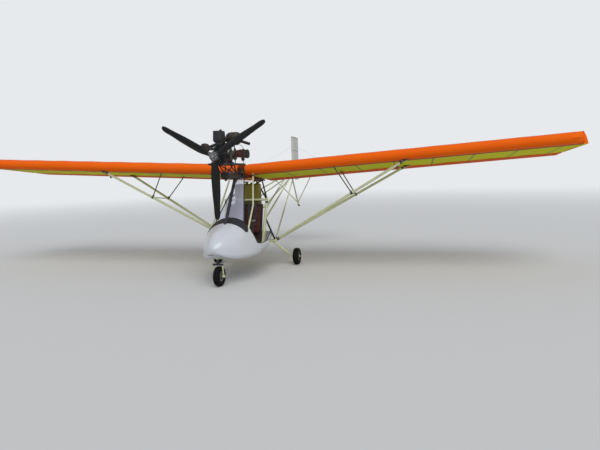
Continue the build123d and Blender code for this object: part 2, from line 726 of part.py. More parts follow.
def build_gearbox():
    """Reduction gearbox with the propeller shaft standing out of its front."""
    body = Pos(0, 105, PROP_Z) * Rot(90, 0, 0) * Cylinder(74, 80)
    foot = Pos(0, 105, PROP_Z - 50) * Box(120, 80, 70)
    nose = Pos(0, 52, PROP_Z) * Rot(90, 0, 0) * Cylinder(42, 30)
    shaft = rod(at(0, -18, PROP_Z), at(0, 60, PROP_Z), 2 * SHAFT_R)
    return fuse([body, foot, nose, shaft])


def build_airbox():
    """Black intake silencer, wider at the top, over the forward cylinder."""
    low = Plane(origin=(-11, 250, 2079)) * RectangleRounded(112, 160, 22)
    mid = Plane(origin=(-11, 250, 2110)) * RectangleRounded(140, 190, 30)
    high = Plane(origin=(-11, 250, 2245)) * RectangleRounded(130, 180, 34)
    box = loft([low, mid, high], ruled=True)
    stub = rod(at(20, 235, 2235), at(26, 232, 2266), 34)
    return box + stub


CAN_WALL = 2.0
MUFFLER = (at(-10, 500, 2148), at(246, 500, 2148), 190.0, 86.0)
AFTER_CAN = (at(-316, 340, 2021), at(-316, 470, 2021), 140.0, 42.0)


def canister(start, end, d, corner):
    """Sheet-metal can with domed ends, and the space inside it."""
    axis = (end - start).normalized()
    outer = rod(start, end, d)
    inner = rod(start + axis * CAN_WALL, end - axis * CAN_WALL, d - 2 * CAN_WALL)
    return (fillet(outer.edges().filter_by(GeomType.CIRCLE), corner),
            fillet(inner.edges().filter_by(GeomType.CIRCLE), corner - CAN_WALL))


def build_exhaust(block):
    """Domed main muffler across the rear cylinder and an after-silencer to starboard."""
    muffler, muffler_space = canister(*MUFFLER)
    can, can_space = canister(*AFTER_CAN)
    link = rod(at(-300, 440, 2021), at(60, 500, 2150), 44)
    outlet = rod(at(180, 500, 2120), at(366, 500, 2056), 44)
    pipes = [rod(at(-78, y, 1985), at(-300, 405 + (y - 305) * 0.3, 2012), 44) for y in PORT_Y]
    stays = [rod(at(RAIL_X - 5, 520, RAIL_Z), at(RAIL_X - 5, 505, 2080), 14)]
    return fuse([muffler, can, link, outlet] + pipes + stays) - block - muffler_space - can_space


def build_carburettors(block):
    """Two carburettors with cone filters, on the port side."""
    sets = []
    for y in PORT_Y:
        throat = rod(at(60, y, 1905), at(262, y, 1905), 44)
        bowl = rod(at(170, y, 1830), at(170, y, 1960), 58)
        cap = rod(at(170, y, 1960), at(170, y, 1985), 40)
        cone = Plane(origin=(255, y, 1905), z_dir=(1, 0, 0)) * Cone(44, 58, 120, align=(Align.CENTER, Align.CENTER, Align.MIN))
        sets.append(fuse([throat, bowl, cap, cone]) - block)
    return sets


# Propeller

BLADE_ROWS = [
    # radius share, chord share, thickness, pitch angle
    (0.08, 0.50, 30, 42),
    (0.14, 0.74, 27, 34),
    (0.22, 0.96, 24, 28),
    (0.40, 1.00, 19, 23),
    (0.66, 0.86, 13, 18),
    (0.88, 0.70, 9, 15),
    (0.97, 0.54, 7, 13),
    (1.00, 0.30, 5, 13),
]


def blade_face(radius, chord, thick, pitch):
    """Flat-backed section of a blade, turned by its pitch, with its round back forward."""
    arc = ThreePointArc((chord * 0.42, 0), (chord * 0.08, -thick), (-chord * 0.58, 0))
    back = ThreePointArc((-chord * 0.58, 0), (0.0, thick * 0.12), (chord * 0.42, 0))
    return Pos(0, 0, radius) * Rot(0, 0, -pitch) * make_face([arc, back])


def build_blade():
    faces = [blade_face(r * PROP_R, share * BLADE_CHORD, t, p) for r, share, t, p in BLADE_ROWS]
    blade = loft(faces)
    root = Cylinder(21, 70, align=(Align.CENTER, Align.CENTER, Align.MIN))
    return Pos(0, 0, 24) * root + blade


def build_propeller():
    blades = [Pos(0, 0, PROP_Z) * Rot(0, turn, 0) * build_blade() for turn in (180, 60, -60)]
    hub = Pos(0, 0, PROP_Z) * Rot(90, 0, 0) * Cylinder(HUB_R, HUB_W)
    hub = fillet(hub.edges().filter_by(GeomType.CIRCLE), 6)
    bore = rod(at(0, -HUB_W, PROP_Z), at(0, HUB_W, PROP_Z), 2 * (SHAFT_R + RUN_CLEAR))
    core = rod(at(0, -HUB_W / 2, PROP_Z), at(0, HUB_W / 2, PROP_Z), 2 * HUB_R)
    cap = Pos(0, -HUB_W / 2, PROP_Z) * Rot(90, 0, 0) * Cylinder(30, 12, align=(Align.CENTER, Align.CENTER, Align.MIN))
    return hub - bore + cap, [blade - core for blade in blades]


# Wheels and gear

def build_wheel(axle_x, axle_y):
    """Tyre with a rounded crown, and a rim whose hub turns on the axle."""
    half = TYRE_W / 2
    place = Pos(axle_x, axle_y, WHEEL_R) * Rot(0, 90, 0)
    crown = WHEEL_R - 34
    section = Polyline((RIM_D / 2, -half + 14), (RIM_D / 2 + 20, -half), (crown, -half))
    tread = ThreePointArc((crown, -half), (WHEEL_R, 0), (crown, half))
    close = Polyline((crown, half), (RIM_D / 2 + 20, half), (RIM_D / 2, half - 14), (RIM_D / 2, -half + 14))
    tyre = revolve(Plane.XZ * make_face([section, tread, close]), Axis.Z)
    hub_r = 24.0
    outline = Polyline((AXLE_D / 2 + RUN_CLEAR, -half), (hub_r, -half), (hub_r, -10), (RIM_D / 2 - 12, -8),
                       (RIM_D / 2 - 12, -half + 12), (RIM_D / 2, -half + 14), (RIM_D / 2, half - 14),
                       (RIM_D / 2 - 12, half - 12), (RIM_D / 2 - 12, 8), (hub_r, 10), (hub_r, half),
                       (AXLE_D / 2 + RUN_CLEAR, half), close=True)
    rim = revolve(Plane.XZ * make_face(outline), Axis.Z)
    return place * tyre, place * rim


def build_gear_leg(frame):
    """Sprung leg from the gear node to the stub axle, with the axle's collars."""
    inner = HALF_TRACK - TYRE_W / 2
    end = at(inner - 34, MAIN_AXLE_Y, WHEEL_R)
    leg = tube(at(370, 1470, 432), end, 40)
    knuckle = rod(end - at(24, 0, 0), end + at(24, 0, 0), 52)
    axle = rod(end, at(HALF_TRACK + TYRE_W / 2 + 14, MAIN_AXLE_Y, WHEEL_R), AXLE_D)
    collar = rod(at(inner - 12, MAIN_AXLE_Y, WHEEL_R), at(inner - 2, MAIN_AXLE_Y, WHEEL_R), 30)
    nut = rod(at(HALF_TRACK + TYRE_W / 2 + 2, MAIN_AXLE_Y, WHEEL_R),
              at(HALF_TRACK + TYRE_W / 2 + 14, MAIN_AXLE_Y, WHEEL_R), 30)
    brace = tube(lerp(UPRIGHT_FOOT, UPRIGHT_TOP, 0.58), GEAR_NODE, 30)
    return seated(fuse([leg, knuckle, axle, collar, nut]), frame), brace


def build_fork():
    """Stem, crown and two legs of the steered nose wheel, with its fixed axle."""
    axle_y = NOSE_AXLE_Y
    leg_x = TYRE_W / 2 + 18
    stem = rod(at(0, STEER_Y, CROWN_Z), at(0, STEER_Y, HEAD_TOP_Z + 14), STEM_D)
    nut = rod(at(0, STEER_Y, HEAD_TOP_Z + 1), at(0, STEER_Y, HEAD_TOP_Z + 14), 40)
    seat = rod(at(0, STEER_Y, CROWN_Z), at(0, STEER_Y, HEAD_LOW_Z - 1), 40)
    crown = Pos(0, STEER_Y, CROWN_Z) * Box(2 * leg_x + 24, 44, 20)
    crown = fillet(crown.edges().filter_by(Axis.Z), 10)
    pieces = [stem, nut, seat, crown]
    for x in (-leg_x, leg_x):
        pieces.append(rod(at(x, STEER_Y, CROWN_Z), at(x, axle_y, WHEEL_R), 22))
        boss_x = x + 2 if x > 0 else x - 2
        pieces.append(Pos(boss_x, axle_y, WHEEL_R) * Rot(0, 90, 0) * Cylinder(22, 22))
        inner = TYRE_W / 2 + 1
        pieces.append(rod(at(inner if x > 0 else -inner, axle_y, WHEEL_R), at(x, axle_y, WHEEL_R), 30))
    pieces.append(rod(at(-leg_x - 28, axle_y, WHEEL_R), at(leg_x + 28, axle_y, WHEEL_R), AXLE_D))
    return fuse(pieces)


# Tail

def control_surface(frame, chord, nose_r, spans, stations, lug_reach):
    """Hollow moving surface with a round nose on its hinge axis, its pins, and the fixed lugs."""
    wedge = make_face(Polyline((0, nose_r), (chord, 2.5), (chord, -2.5), (0, -nose_r), close=True))
    section = wedge + Circle(nose_r)
    cavity = make_face(Polyline((10, nose_r - CLOTH - 1), (chord - 60, 4), (chord - 60, -4),
                                (10, CLOTH + 1 - nose_r), close=True))
    shapes = []
    for start, end in spans:
        piece = Pos(0, 0, start) * extrude(section, amount=end - start)
        inside = [z for z in stations if start < z < end]
        edges = [start] + inside + [end]
        for a, b in zip(edges[:-1], edges[1:]):
            low = a + (CLOTH if a == start else LUG_W + LUG_SIDE_GAP)
            high = b - (CLOTH if b == end else LUG_W + LUG_SIDE_GAP)
            piece = piece - Pos(0, 0, low) * extrude(cavity, amount=high - low)
        shapes.append(frame * piece)
    surface = fuse(shapes)
    lugs = []
    for z in stations:
        centre = frame.from_local_coords((0, 0, z))
        lug, slot, pin = surface_hinge(centre, frame.z_dir, frame.x_dir, nose_r, lug_reach)
        surface = surface - slot + pin
        lugs.append(lug)
    return surface, lugs


def fixed_surface(frame, front, end, thick, low, high):
    """Hollow fixed surface with a round leading edge, flat at its rear."""
    radius = thick / 2
    section = Pos(front + radius, 0) * Circle(radius)
    section = section + Pos((front + radius + end) / 2, 0) * Rectangle(end - front - radius, thick)
    length = end - front - 2 * radius - 8
    cavity = Pos(front + radius + 4 + length / 2, 0) * Rectangle(length, thick - 2 * CLOTH)
    outer = Pos(0, 0, low) * extrude(section, amount=high - low)
    inner = Pos(0, 0, low + 40) * extrude(cavity, amount=high - low - 80)
    return frame * (outer - inner)


FIN_NOSE_R = FIN_THICK / 2 - 2
STAB_NOSE_R = STAB_THICK / 2 - 2
STAB_Z = BOOM_TOP + STAB_THICK / 2 - 6
RUDDER_HINGES = (BOOM_Z, 1900.0, 2300.0)
ELEV_INNER = 130.0
ELEV_HINGES = (270.0, 700.0, 1110.0)


def build_fin_and_rudder():
    frame = Plane(origin=(0, RUDDER_POST_Y, 0), x_dir=(0, 1, 0), z_dir=(0, 0, 1))
    fin_end = -FIN_NOSE_R - HINGE_GAP
    fin = fixed_surface(frame, FIN_LE_Y - RUDDER_POST_Y, fin_end, FIN_THICK, BOOM_TOP - 6, FIN_TOP_Z)
    chord = RUDDER_TE_Y - RUDDER_POST_Y
    rudder, lugs = control_surface(frame, chord, FIN_NOSE_R, [(RUDDER_BOTTOM_Z, FIN_TOP_Z)],
                                   RUDDER_HINGES, FIN_NOSE_R + HINGE_GAP)
    tail_lug, _, _ = surface_hinge(at(0, RUDDER_POST_Y, BOOM_Z), at(0, 0, 1), at(0, 1, 0),
                                   FIN_NOSE_R, RUDDER_POST_Y - BOOM_REAR_Y)
    return fuse([fin - boom_core] + lugs[1:]), rudder, tail_lug


def build_stabiliser_and_elevator():
    frame = Plane(origin=(0, ELEV_HINGE_Y, STAB_Z), x_dir=(0, 1, 0), z_dir=(1, 0, 0))
    end = -STAB_NOSE_R - HINGE_GAP
    stab = fixed_surface(frame, STAB_LE_Y - ELEV_HINGE_Y, end, STAB_THICK, -STAB_HALF, STAB_HALF)
    chord = ELEV_TE_Y - ELEV_HINGE_Y
    stations = [-x for x in reversed(ELEV_HINGES)] + list(ELEV_HINGES)
    spans = [(-STAB_HALF, -ELEV_INNER), (ELEV_INNER, STAB_HALF)]
    elevator, lugs = control_surface(frame, chord, STAB_NOSE_R, spans, stations,
                                     STAB_NOSE_R + HINGE_GAP)
    torque = rod(at(-ELEV_INNER - 5, ELEV_HINGE_Y, STAB_Z), at(ELEV_INNER + 5, ELEV_HINGE_Y, STAB_Z), 20)
    return fuse([stab - boom_core] + lugs), elevator + torque


def build_tail_post(stab):
    """Sloping post under the boom, with braces out to the stabiliser."""
    foot = at(0, TAIL_SKID_Y, TAIL_SKID_Z)
    head = at(0, 4250, BOOM_Z)
    post = tube(head, foot, 32)
    start = lerp(foot, head, 0.10)
    brace = tube(start, at(560, 4150, STAB_Z), 20, 2.5)
    shoe = rod(foot + at(0, -26, 22), foot + at(0, 34, 2), 46)
    body = seated(fuse([post, brace, flip(brace)]), boom_core, stab)
    return body, seated(shoe, body)


# The aircraft

form = pod_form(0)
hollow = pod_form(POD_WALL)
opening = behind(RIM_Y, RIM_CURVE) & above_doors()
frame = build_cockpit_frame(hollow)
mount = build_engine_mount()
fitting_rear, fitting_front = build_root_fittings()
post = seated(build_front_post(), boom_core, frame)
post_core = rod(POST_FOOT, POST_TOP, POST_D)
fin, rudder, tail_lug = build_fin_and_rudder()
stabiliser, elevator = build_stabiliser_and_elevator()
tail_post, tail_skid = build_tail_post(stabiliser)
wing_nose, wing_sail, aileron = build_wing()
wing_core = along_span(wing_face(), ROOT_X, HALF_SPAN)
struts = seated(build_lift_struts(), frame, wing_core)
tie_down_lug = seated(build_tie_down_lug(), struts)
stays = [seated(stay, boom_core, frame) for stay in build_tail_stays()]
leg, leg_brace = build_gear_leg(frame)
brace_core = rod(lerp(UPRIGHT_FOOT, UPRIGHT_TOP, 0.58), GEAR_NODE, 30)
leg_brace = seated(leg_brace, frame, *stays)
block = build_engine_block() - mount
seat = build_seat(frame)
squabs, backs = build_cushions(seat)
tub = build_pod(form, hollow, opening)
coaming = build_coaming(form) - post_core
door_post = seated(build_door_posts(), tub, coaming, wing_core)
edge_tube = seated(build_screen_edges(), boom_core, pod_form(-COAMING_T), fitting_front)
edges = [edge_tube, flip(edge_tube), door_post, flip(door_post)]
gearbox = seated(build_gearbox(), block)
cabane = seated(build_cabane(), frame, fitting_rear)
hub, blades = build_propeller()

node("boom", build_boom() + tail_lug)
node("root_fittings", fitting_rear, fitting_front)
node("engine_mount", mount)
node("front_post", post)
node("cockpit_frame", frame)
node("cabane_struts", cabane, flip(cabane))
node("door_posts", door_post, flip(door_post))
node("screen_edges", edge_tube, flip(edge_tube))
node("tail_stays", *stays, *[flip(stay) for stay in stays])
node("pod", seated(tub, frame, brace_core, flip(brace_core)))
node("coaming", coaming)
node("instrument_panel", seated(build_panel(hollow, post_core), door_post, flip(door_post), *build_controls(hollow)))
node("windscreen", seated(build_windscreen(), *edges))
node("seat_shell", seat)
node("seat_cushions", *squabs, *backs)
node("fuel_tank", build_tank())
node("cabin_controls", *build_controls(hollow))
node("engine_block", block)
node("engine_gearbox", gearbox)
node("engine_airbox", seated(build_airbox(), block))
node("engine_exhaust", seated(build_exhaust(block), mount))
node("engine_carburettors", *build_carburettors(block))
node("gear_braces", leg_brace, flip(leg_brace))
node("fin", fin)
node("stabiliser", stabiliser)
node("tail_post", tail_post)
node("tail_skid", tail_skid)
node("rudder", rudder)
node("elevator", elevator)
node("propeller_hub", hub)
node("propeller_blades", *blades)
node("nose_fork", build_fork())
for side, turn in (("left", lambda s: s), ("right", flip)):
    node(f"wing_nose_{side}", turn(wing_nose))
    node(f"wing_sail_{side}", turn(wing_sail))
    node(f"aileron_{side}", turn(aileron))
    node(f"lift_struts_{side}", turn(struts))
    node(f"tie_down_lug_{side}", turn(tie_down_lug))
    node(f"gear_leg_{side}", turn(leg))
for name, x, y in (("nose", 0, NOSE_AXLE_Y), ("left", HALF_TRACK, MAIN_AXLE_Y),
                   ("right", -HALF_TRACK, MAIN_AXLE_Y)):
    tyre, rim = build_wheel(x, y)
    node(f"tyre_{name}", tyre)
    node(f"rim_{name}", rim)

os.makedirs("parts", exist_ok=True)
for name, solids in nodes.items():
    export_step(Compound(children=solids), f"parts/{name}.step")
print("origin shift", SHIFT_Y, "nodes", len(nodes))
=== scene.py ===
# %% [markdown]
# # A strut-braced ultralight, dressed around its frame
#
# The frame holds every rigid piece of the aircraft at its real size. This lesson gives each piece
# its finish and makes the soft and thin things that the frame only blocks out: the sewn wing
# skins, the seat cushions, the tyre treads, the rigging and the small fittings. The frame's
# units are metres, with Z up, the nose towards -Y and the port wing towards +X.

# %% Load the frame
import bmesh
import bpy
import json
import math
import numpy as np
from mathutils import Matrix, Vector


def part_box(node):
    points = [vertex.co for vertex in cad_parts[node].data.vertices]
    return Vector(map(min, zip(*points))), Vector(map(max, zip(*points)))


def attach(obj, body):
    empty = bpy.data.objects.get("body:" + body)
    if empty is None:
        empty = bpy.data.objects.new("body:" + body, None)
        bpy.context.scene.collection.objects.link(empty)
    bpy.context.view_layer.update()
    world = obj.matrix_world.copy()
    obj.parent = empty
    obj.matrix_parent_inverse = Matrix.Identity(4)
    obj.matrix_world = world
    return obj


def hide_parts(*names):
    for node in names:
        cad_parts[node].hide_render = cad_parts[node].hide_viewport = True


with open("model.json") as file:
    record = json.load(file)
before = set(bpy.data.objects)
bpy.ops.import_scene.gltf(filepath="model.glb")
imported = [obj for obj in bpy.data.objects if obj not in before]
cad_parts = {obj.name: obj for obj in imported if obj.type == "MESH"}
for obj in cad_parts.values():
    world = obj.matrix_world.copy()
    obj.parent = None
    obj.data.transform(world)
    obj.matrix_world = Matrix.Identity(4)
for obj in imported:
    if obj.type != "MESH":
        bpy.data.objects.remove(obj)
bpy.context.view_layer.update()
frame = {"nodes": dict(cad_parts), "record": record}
NODES = frame["nodes"]
RECORD_JOINTS = frame["record"]["behaviour"]["joints"]
JOINT_AT = {row["name"]: Vector(row["pos_m"]) for row in RECORD_JOINTS}
PROP_PLANE_Y = JOINT_AT["propeller_spin"].y

# %% [markdown]
# ## Camera
#
# The photograph was taken from about eye height, close to the nose and a little to port. The
# numbers below come from matching the wing tips, wheels and fin with their places in the
# picture: the lens is a wide one, which is why the port wing looks so long.

# %% Camera
EYE = Vector((2.755, PROP_PLANE_Y - 6.148, 1.603))
HEADING = math.radians(13.97)
PITCH_DOWN = math.radians(6.47)
ROLL = math.radians(-1.95)
FOCAL_MM = 27.73


def aim_camera():
    """A camera that is rolled about its own axis, tipped up from straight down and turned about Z."""
    data = bpy.data.cameras.new("camera")
    data.lens = FOCAL_MM
    data.sensor_width = 36.0
    data.clip_end = 1000.0
    camera = bpy.data.objects.new("camera", data)
    camera.matrix_world = (
        Matrix.Translation(EYE) @ Matrix.Rotation(HEADING, 4, "Z")
        @ Matrix.Rotation(math.pi / 2 - PITCH_DOWN, 4, "X") @ Matrix.Rotation(ROLL, 4, "Z"))
    bpy.context.scene.collection.objects.link(camera)
    bpy.context.scene.camera = camera
    return camera


camera = aim_camera()
bpy.context.scene.view_settings.view_transform = "Standard"
print("camera at", [round(v, 3) for v in camera.matrix_world.translation])

# %% [markdown]
# ## Colours and shader nodes
#
# Colours are written as the hex values that an eye would match on the real object. A shader
# works in linear light, so one function turns them. Another adds a shader node with its
# settings and links, and every material below is built with it.

# %% Colour and node helpers
def linear(code):
    """sRGB hex to linear light: the low part is a straight line and the rest a power of 2.4."""
    value = np.array([int(code[i:i + 2], 16) / 255 for i in (0, 2, 4)])
    turned = np.where(value <= 0.04045, value / 12.92, ((value + 0.055) / 1.055) ** 2.4)
    return (*turned.tolist(), 1.0)


def add_node(tree, kind, inputs=None, **settings):
    """Adds one shader node, named without its prefix. An input is a value, or an output to link."""
    made = tree.nodes.new(f"ShaderNode{kind}")
    for key, value in settings.items():
        setattr(made, key, value)
    for key, value in (inputs or {}).items():
        if isinstance(value, bpy.types.NodeSocket):
            tree.links.new(value, made.inputs[key])
        else:
            made.inputs[key].default_value = value
    return made


def new_material(name, colour, roughness, **sockets):
    """A named material with one Principled shader, its plain values set on its own sockets."""
    material = bpy.data.materials.new(name)
    material.use_nodes = True
    tree = material.node_tree
    shader = tree.nodes["Principled BSDF"]
    shader.inputs["Base Color"].default_value = linear(colour)
    shader.inputs["Roughness"].default_value = roughness
    for key, value in sockets.items():
        shader.inputs[key.replace("_", " ")].default_value = value
    return material, tree, shader


def clouded(tree, place, scale, detail, first, second, roughness=0.5):
    """A colour that drifts between two others in soft clouds."""
    clouds = add_node(tree, "TexNoise", {
        "Vector": place, "Scale": scale, "Detail": detail, "Roughness": roughness})
    mixed = add_node(tree, "Mix", {
        "Factor": clouds.outputs["Fac"], "A": linear(first), "B": linear(second)}, data_type="RGBA")
    return mixed.outputs["Result"]


def weather(tree, shader, clean, dirty, patch_mm, rough, bump_mm, height_mm):
    """Soft patches of wear between two colours, uneven gloss and a fine relief.

    patch_mm is the size of the patches, rough the lowest and highest roughness, bump_mm the
    size of the relief's grains and height_mm their height.
    """
    place = add_node(tree, "TexCoord").outputs["Object"]
    patches = add_node(tree, "TexNoise", {
        "Vector": place, "Scale": 1000.0 / patch_mm, "Detail": 5.0, "Roughness": 0.62})
    ramp = add_node(tree, "MapRange", {
        "Value": patches.outputs["Fac"], "From Min": 0.35, "From Max": 0.72})
    tint = add_node(tree, "Mix", {
        "Factor": ramp.outputs["Result"], "A": linear(clean), "B": linear(dirty)}, data_type="RGBA")
    tree.links.new(tint.outputs["Result"], shader.inputs["Base Color"])
    gloss = add_node(tree, "MapRange", {
        "Value": patches.outputs["Fac"], "From Min": 0.3, "From Max": 0.7,
        "To Min": rough[0], "To Max": rough[1]})
    tree.links.new(gloss.outputs["Result"], shader.inputs["Roughness"])
    grain = add_node(tree, "TexNoise", {
        "Vector": place, "Scale": 1000.0 / bump_mm, "Detail": 3.0})
    relief = add_node(tree, "Bump", {
        "Height": grain.outputs["Fac"], "Strength": 0.5, "Distance": height_mm / 1000.0})
    tree.links.new(relief.outputs["Normal"], shader.inputs["Normal"])
    return place, tint


def finish(name, clean, dirty, patch_mm, rough, bump_mm, height_mm, **sockets):
    """A weathered material, ready for use."""
    material, tree, shader = new_material(name, clean, rough[0], **sockets)
    weather(tree, shader, clean, dirty, patch_mm, rough, bump_mm, height_mm)
    return material


print("orange", [round(v, 3) for v in linear("E05B21")])

# %% [markdown]
# ## Light and floor
#
# An overcast sky lights the aircraft from everywhere, a little more from above. A grey-blue
# world does the same, with one wide soft lamp for shape. What the camera sees of the world is
# one pale grey, which changes nothing in the light that falls on the aircraft, and the floor
# fades into that grey with distance, so that no horizon cuts through the wings.

# %% Light and floor
SKY = (0.80, 0.84, 0.90, 1.0)
SKY_STRENGTH = 0.62
FLOOR_COLOUR = (0.60, 0.60, 0.59, 1.0)
BACKDROP = (0.80, 0.82, 0.84, 1.0)
FLOOR_HALF = 400.0
FADE_FROM = 7.0
FADE_TO = 34.0
SUN_POWER = 1.5
SUN_WIDTH = math.radians(50)
SUN_TURN = (math.radians(38), 0.0, math.radians(28))


def light_stage():
    """World, floor and lamp. Only camera rays see the pale backdrop."""
    world = bpy.data.worlds.new("overcast")
    bpy.context.scene.world = world
    world.use_nodes = True
    tree = world.node_tree
    sky = tree.nodes["Background"]
    sky.inputs["Color"].default_value = SKY
    sky.inputs["Strength"].default_value = SKY_STRENGTH
    plain = add_node(tree, "Background", {"Color": BACKDROP})
    choose = add_node(tree, "MixShader", {
        "Fac": add_node(tree, "LightPath").outputs["Is Camera Ray"],
        1: sky.outputs[0], 2: plain.outputs[0]})
    tree.links.new(choose.outputs[0], tree.nodes["World Output"].inputs["Surface"])

    mesh = bpy.data.meshes.new("floor")
    corners = [(x * FLOOR_HALF, y * FLOOR_HALF, 0) for x, y in ((-1, -1), (1, -1), (1, 1), (-1, 1))]
    mesh.from_pydata(corners, [], [(0, 1, 2, 3)])
    floor = bpy.data.objects.new("floor", mesh)
    bpy.context.scene.collection.objects.link(floor)
    paint = bpy.data.materials.new("pale_floor")
    paint.use_nodes = True
    tree = paint.node_tree
    matt = tree.nodes["Principled BSDF"]
    matt.inputs["Base Color"].default_value = FLOOR_COLOUR
    matt.inputs["Roughness"].default_value = 0.9
    haze = add_node(tree, "Emission", {"Color": BACKDROP})
    place = add_node(tree, "TexCoord").outputs["Object"]
    reach = add_node(tree, "VectorMath", {0: place}, operation="LENGTH")
    fade = add_node(tree, "MapRange", {
        "Value": reach.outputs["Value"], "From Min": FADE_FROM, "From Max": FADE_TO},
        interpolation_type="SMOOTHSTEP")
    seen = add_node(tree, "LightPath").outputs["Is Camera Ray"]
    share = add_node(tree, "Math", {0: fade.outputs["Result"], 1: seen}, operation="MULTIPLY")
    blend = add_node(tree, "MixShader", {"Fac": share.outputs[0], 1: matt.outputs[0], 2: haze.outputs[0]})
    tree.links.new(blend.outputs[0], tree.nodes["Material Output"].inputs["Surface"])
    mesh.materials.append(paint)

    lamp = bpy.data.lights.new("soft_sun", "SUN")
    lamp.energy = SUN_POWER
    lamp.angle = SUN_WIDTH
    holder = bpy.data.objects.new("soft_sun", lamp)
    holder.rotation_euler = SUN_TURN
    bpy.context.scene.collection.objects.link(holder)


light_stage()
print("lit")

# %% [markdown]
# ## Finishes of the rigid pieces
#
# The tubes are aluminium painted a pale cream green, the truss under the engine is black, the
# pod is white gelcoat over glass fibre, and the engine is cast and sheet metal that heat and
# oil have darkened. Each finish has soft patches of dust or wear, at the size they have on the
# real thing, and a fine relief, so that no surface is one flat colour.

# %% Finishes
# name, clean and dirty colour, patch in mm, roughness range, relief and its height in mm
finishes = {
    "frame_tube": finish("cream_paint_on_aluminium", "D2D6AC", "C5C99E", 260, (0.36, 0.55), 3.0, 0.03,
                         Coat_Weight=0.15),
    "boom_tube": finish("clear_anodised_aluminium", "C9CACB", "A9ACAC", 140, (0.30, 0.46), 2.0, 0.03,
                        Metallic=0.75),
    "black_tube": finish("black_powder_coat", "1D1E20", "2B2B2B", 60, (0.42, 0.62), 1.5, 0.06),
    "fitting": finish("primed_steel_fitting", "45261F", "2D1D1A", 40, (0.45, 0.68), 2.0, 0.08),
    "gelcoat": finish("white_gelcoat", "D0D3D9", "C9CCD0", 700, (0.17, 0.26), 40.0, 0.06,
                      Coat_Weight=0.5, Coat_Roughness=0.08),
    "black_plastic": finish("grained_black_abs", "1F2124", "2A2C2F", 45, (0.48, 0.66), 1.2, 0.10),
    "seat_sheet": finish("brown_laminate", "341A13", "26120D", 70, (0.5, 0.7), 2.5, 0.08),
    "engine_alloy": finish("oily_cast_aluminium", "4B4C4F", "262628", 38, (0.42, 0.70), 1.6, 0.18,
                           Metallic=0.55),
    "carb_alloy": finish("die_cast_zinc", "6F6B65", "474239", 26, (0.36, 0.6), 1.4, 0.10, Metallic=0.7),
    "dark_steel": finish("heat_browned_sheet_steel", "4B443C", "2C2723", 60, (0.45, 0.72), 2.0, 0.10,
                         Metallic=0.5),
    "blade": finish("carbon_composite_lacquer", "131313", "1D1C1B", 120, (0.44, 0.60), 2.5, 0.04,
                    Specular_IOR_Level=0.25),
    "rim_alloy": finish("turned_aluminium", "B4B2A9", "8A867D", 30, (0.3, 0.5), 1.2, 0.04, Metallic=0.7),
    "tyre_rubber": finish("tyre_rubber", "0D0E0F", "1A1816", 40, (0.70, 0.90), 1.6, 0.12,
                          Specular_IOR_Level=0.15),
    "skid_rubber": finish("skid_rubber", "1D1C1B", "35312C", 20, (0.7, 0.9), 1.6, 0.2),
}
print("finishes", len(finishes))


def repaint(node_name, material):
    """Gives a node of the frame one material in place of its own."""
    NODES[node_name].data.materials.clear()
    NODES[node_name].data.materials.append(material)


for row in frame["record"]["subparts"]:
    if row["material_slot"] in finishes:
        repaint(row["node"], finishes[row["material_slot"]])

# %% [markdown]
# ## Meshes from grids
#
# Every new surface is a grid of points worked out by numpy from two parameters: along and
# around a tube, along and across a sail. One function joins the grid with four-sided faces,
# closes it where it wraps, and caps its ends where it should be solid.

# %% Grid, tube and fastener helpers
def grid_faces(rows, columns, wrap_rows=False, wrap_columns=False):
    """Four-sided faces between neighbours of a grid whose points are stored row by row."""
    index = np.arange(rows * columns).reshape(rows, columns)
    if wrap_rows:
        index = np.vstack([index, index[:1]])
    if wrap_columns:
        index = np.hstack([index, index[:, :1]])
    corners = (index[:-1, :-1], index[:-1, 1:], index[1:, 1:], index[1:, :-1])
    return np.stack(corners, axis=-1).reshape(-1, 4)


def ring_caps(rows, columns):
    """The two end faces of a grid whose columns wrap into rings."""
    first = np.arange(columns)[::-1]
    return [first.tolist(), (first[::-1] + (rows - 1) * columns).tolist()]


def tube_faces(rows, columns):
    """The faces of a grid whose columns wrap into rings, with both ends closed."""
    return grid_faces(rows, columns, wrap_columns=True).tolist() + ring_caps(rows, columns)


def solid_of(*parts):
    """Joins (points, faces) pairs into one pair."""
    points, faces, start = [], [], 0
    for some_points, some_faces in parts:
        points.append(np.asarray(some_points, dtype=float).reshape(-1, 3))
        faces.extend([[i + start for i in face] for face in some_faces])
        start += len(points[-1])
    return np.vstack(points), faces


def piece(name, body, material, points, faces, smooth=True, uv=None):
    """A finished object on a body: points in the aircraft's frame, faces pointing outwards."""
    mesh = bpy.data.meshes.new(name)
    mesh.from_pydata(np.asarray(points).reshape(-1, 3).tolist(), [], [list(f) for f in faces])
    mesh.validate()
    if uv is not None:
        layer = mesh.uv_layers.new(name="cloth")
        loops = np.empty(len(mesh.loops), dtype=np.int32)
        mesh.loops.foreach_get("vertex_index", loops)
        layer.data.foreach_set("uv", np.asarray(uv)[loops].astype(np.float32).ravel())
    mesh.polygons.foreach_set("use_smooth", [smooth] * len(mesh.polygons))
    mesh.materials.append(material)
    made = bpy.data.objects.new(name, mesh)
    bpy.context.scene.collection.objects.link(made)
    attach(made, body)
    return made


def hard_piece(name, material, parts, body="airframe"):
    """A rigid piece of several parts, shaded flat."""
    return piece(name, body, material, *solid_of(*parts), smooth=False)


def bevelled(made, width, angle=35):
    """Rounds the sharp edges of a piece, as a file or a mould does."""
    edge = made.modifiers.new("rounded", "BEVEL")
    edge.width = width
    edge.segments = 2
    edge.limit_method = "ANGLE"
    edge.angle_limit = math.radians(angle)
    return made


def mirrored(points, faces):
    """The same form on the starboard side, with its faces turned to point outwards again."""
    return np.asarray(points) * np.array([-1, 1, 1]), [list(face)[::-1] for face in faces]


def on_side(side, points, faces):
    """The form as it is for port, and mirrored for starboard."""
    return mirrored(points, faces) if side < 0 else (points, faces)


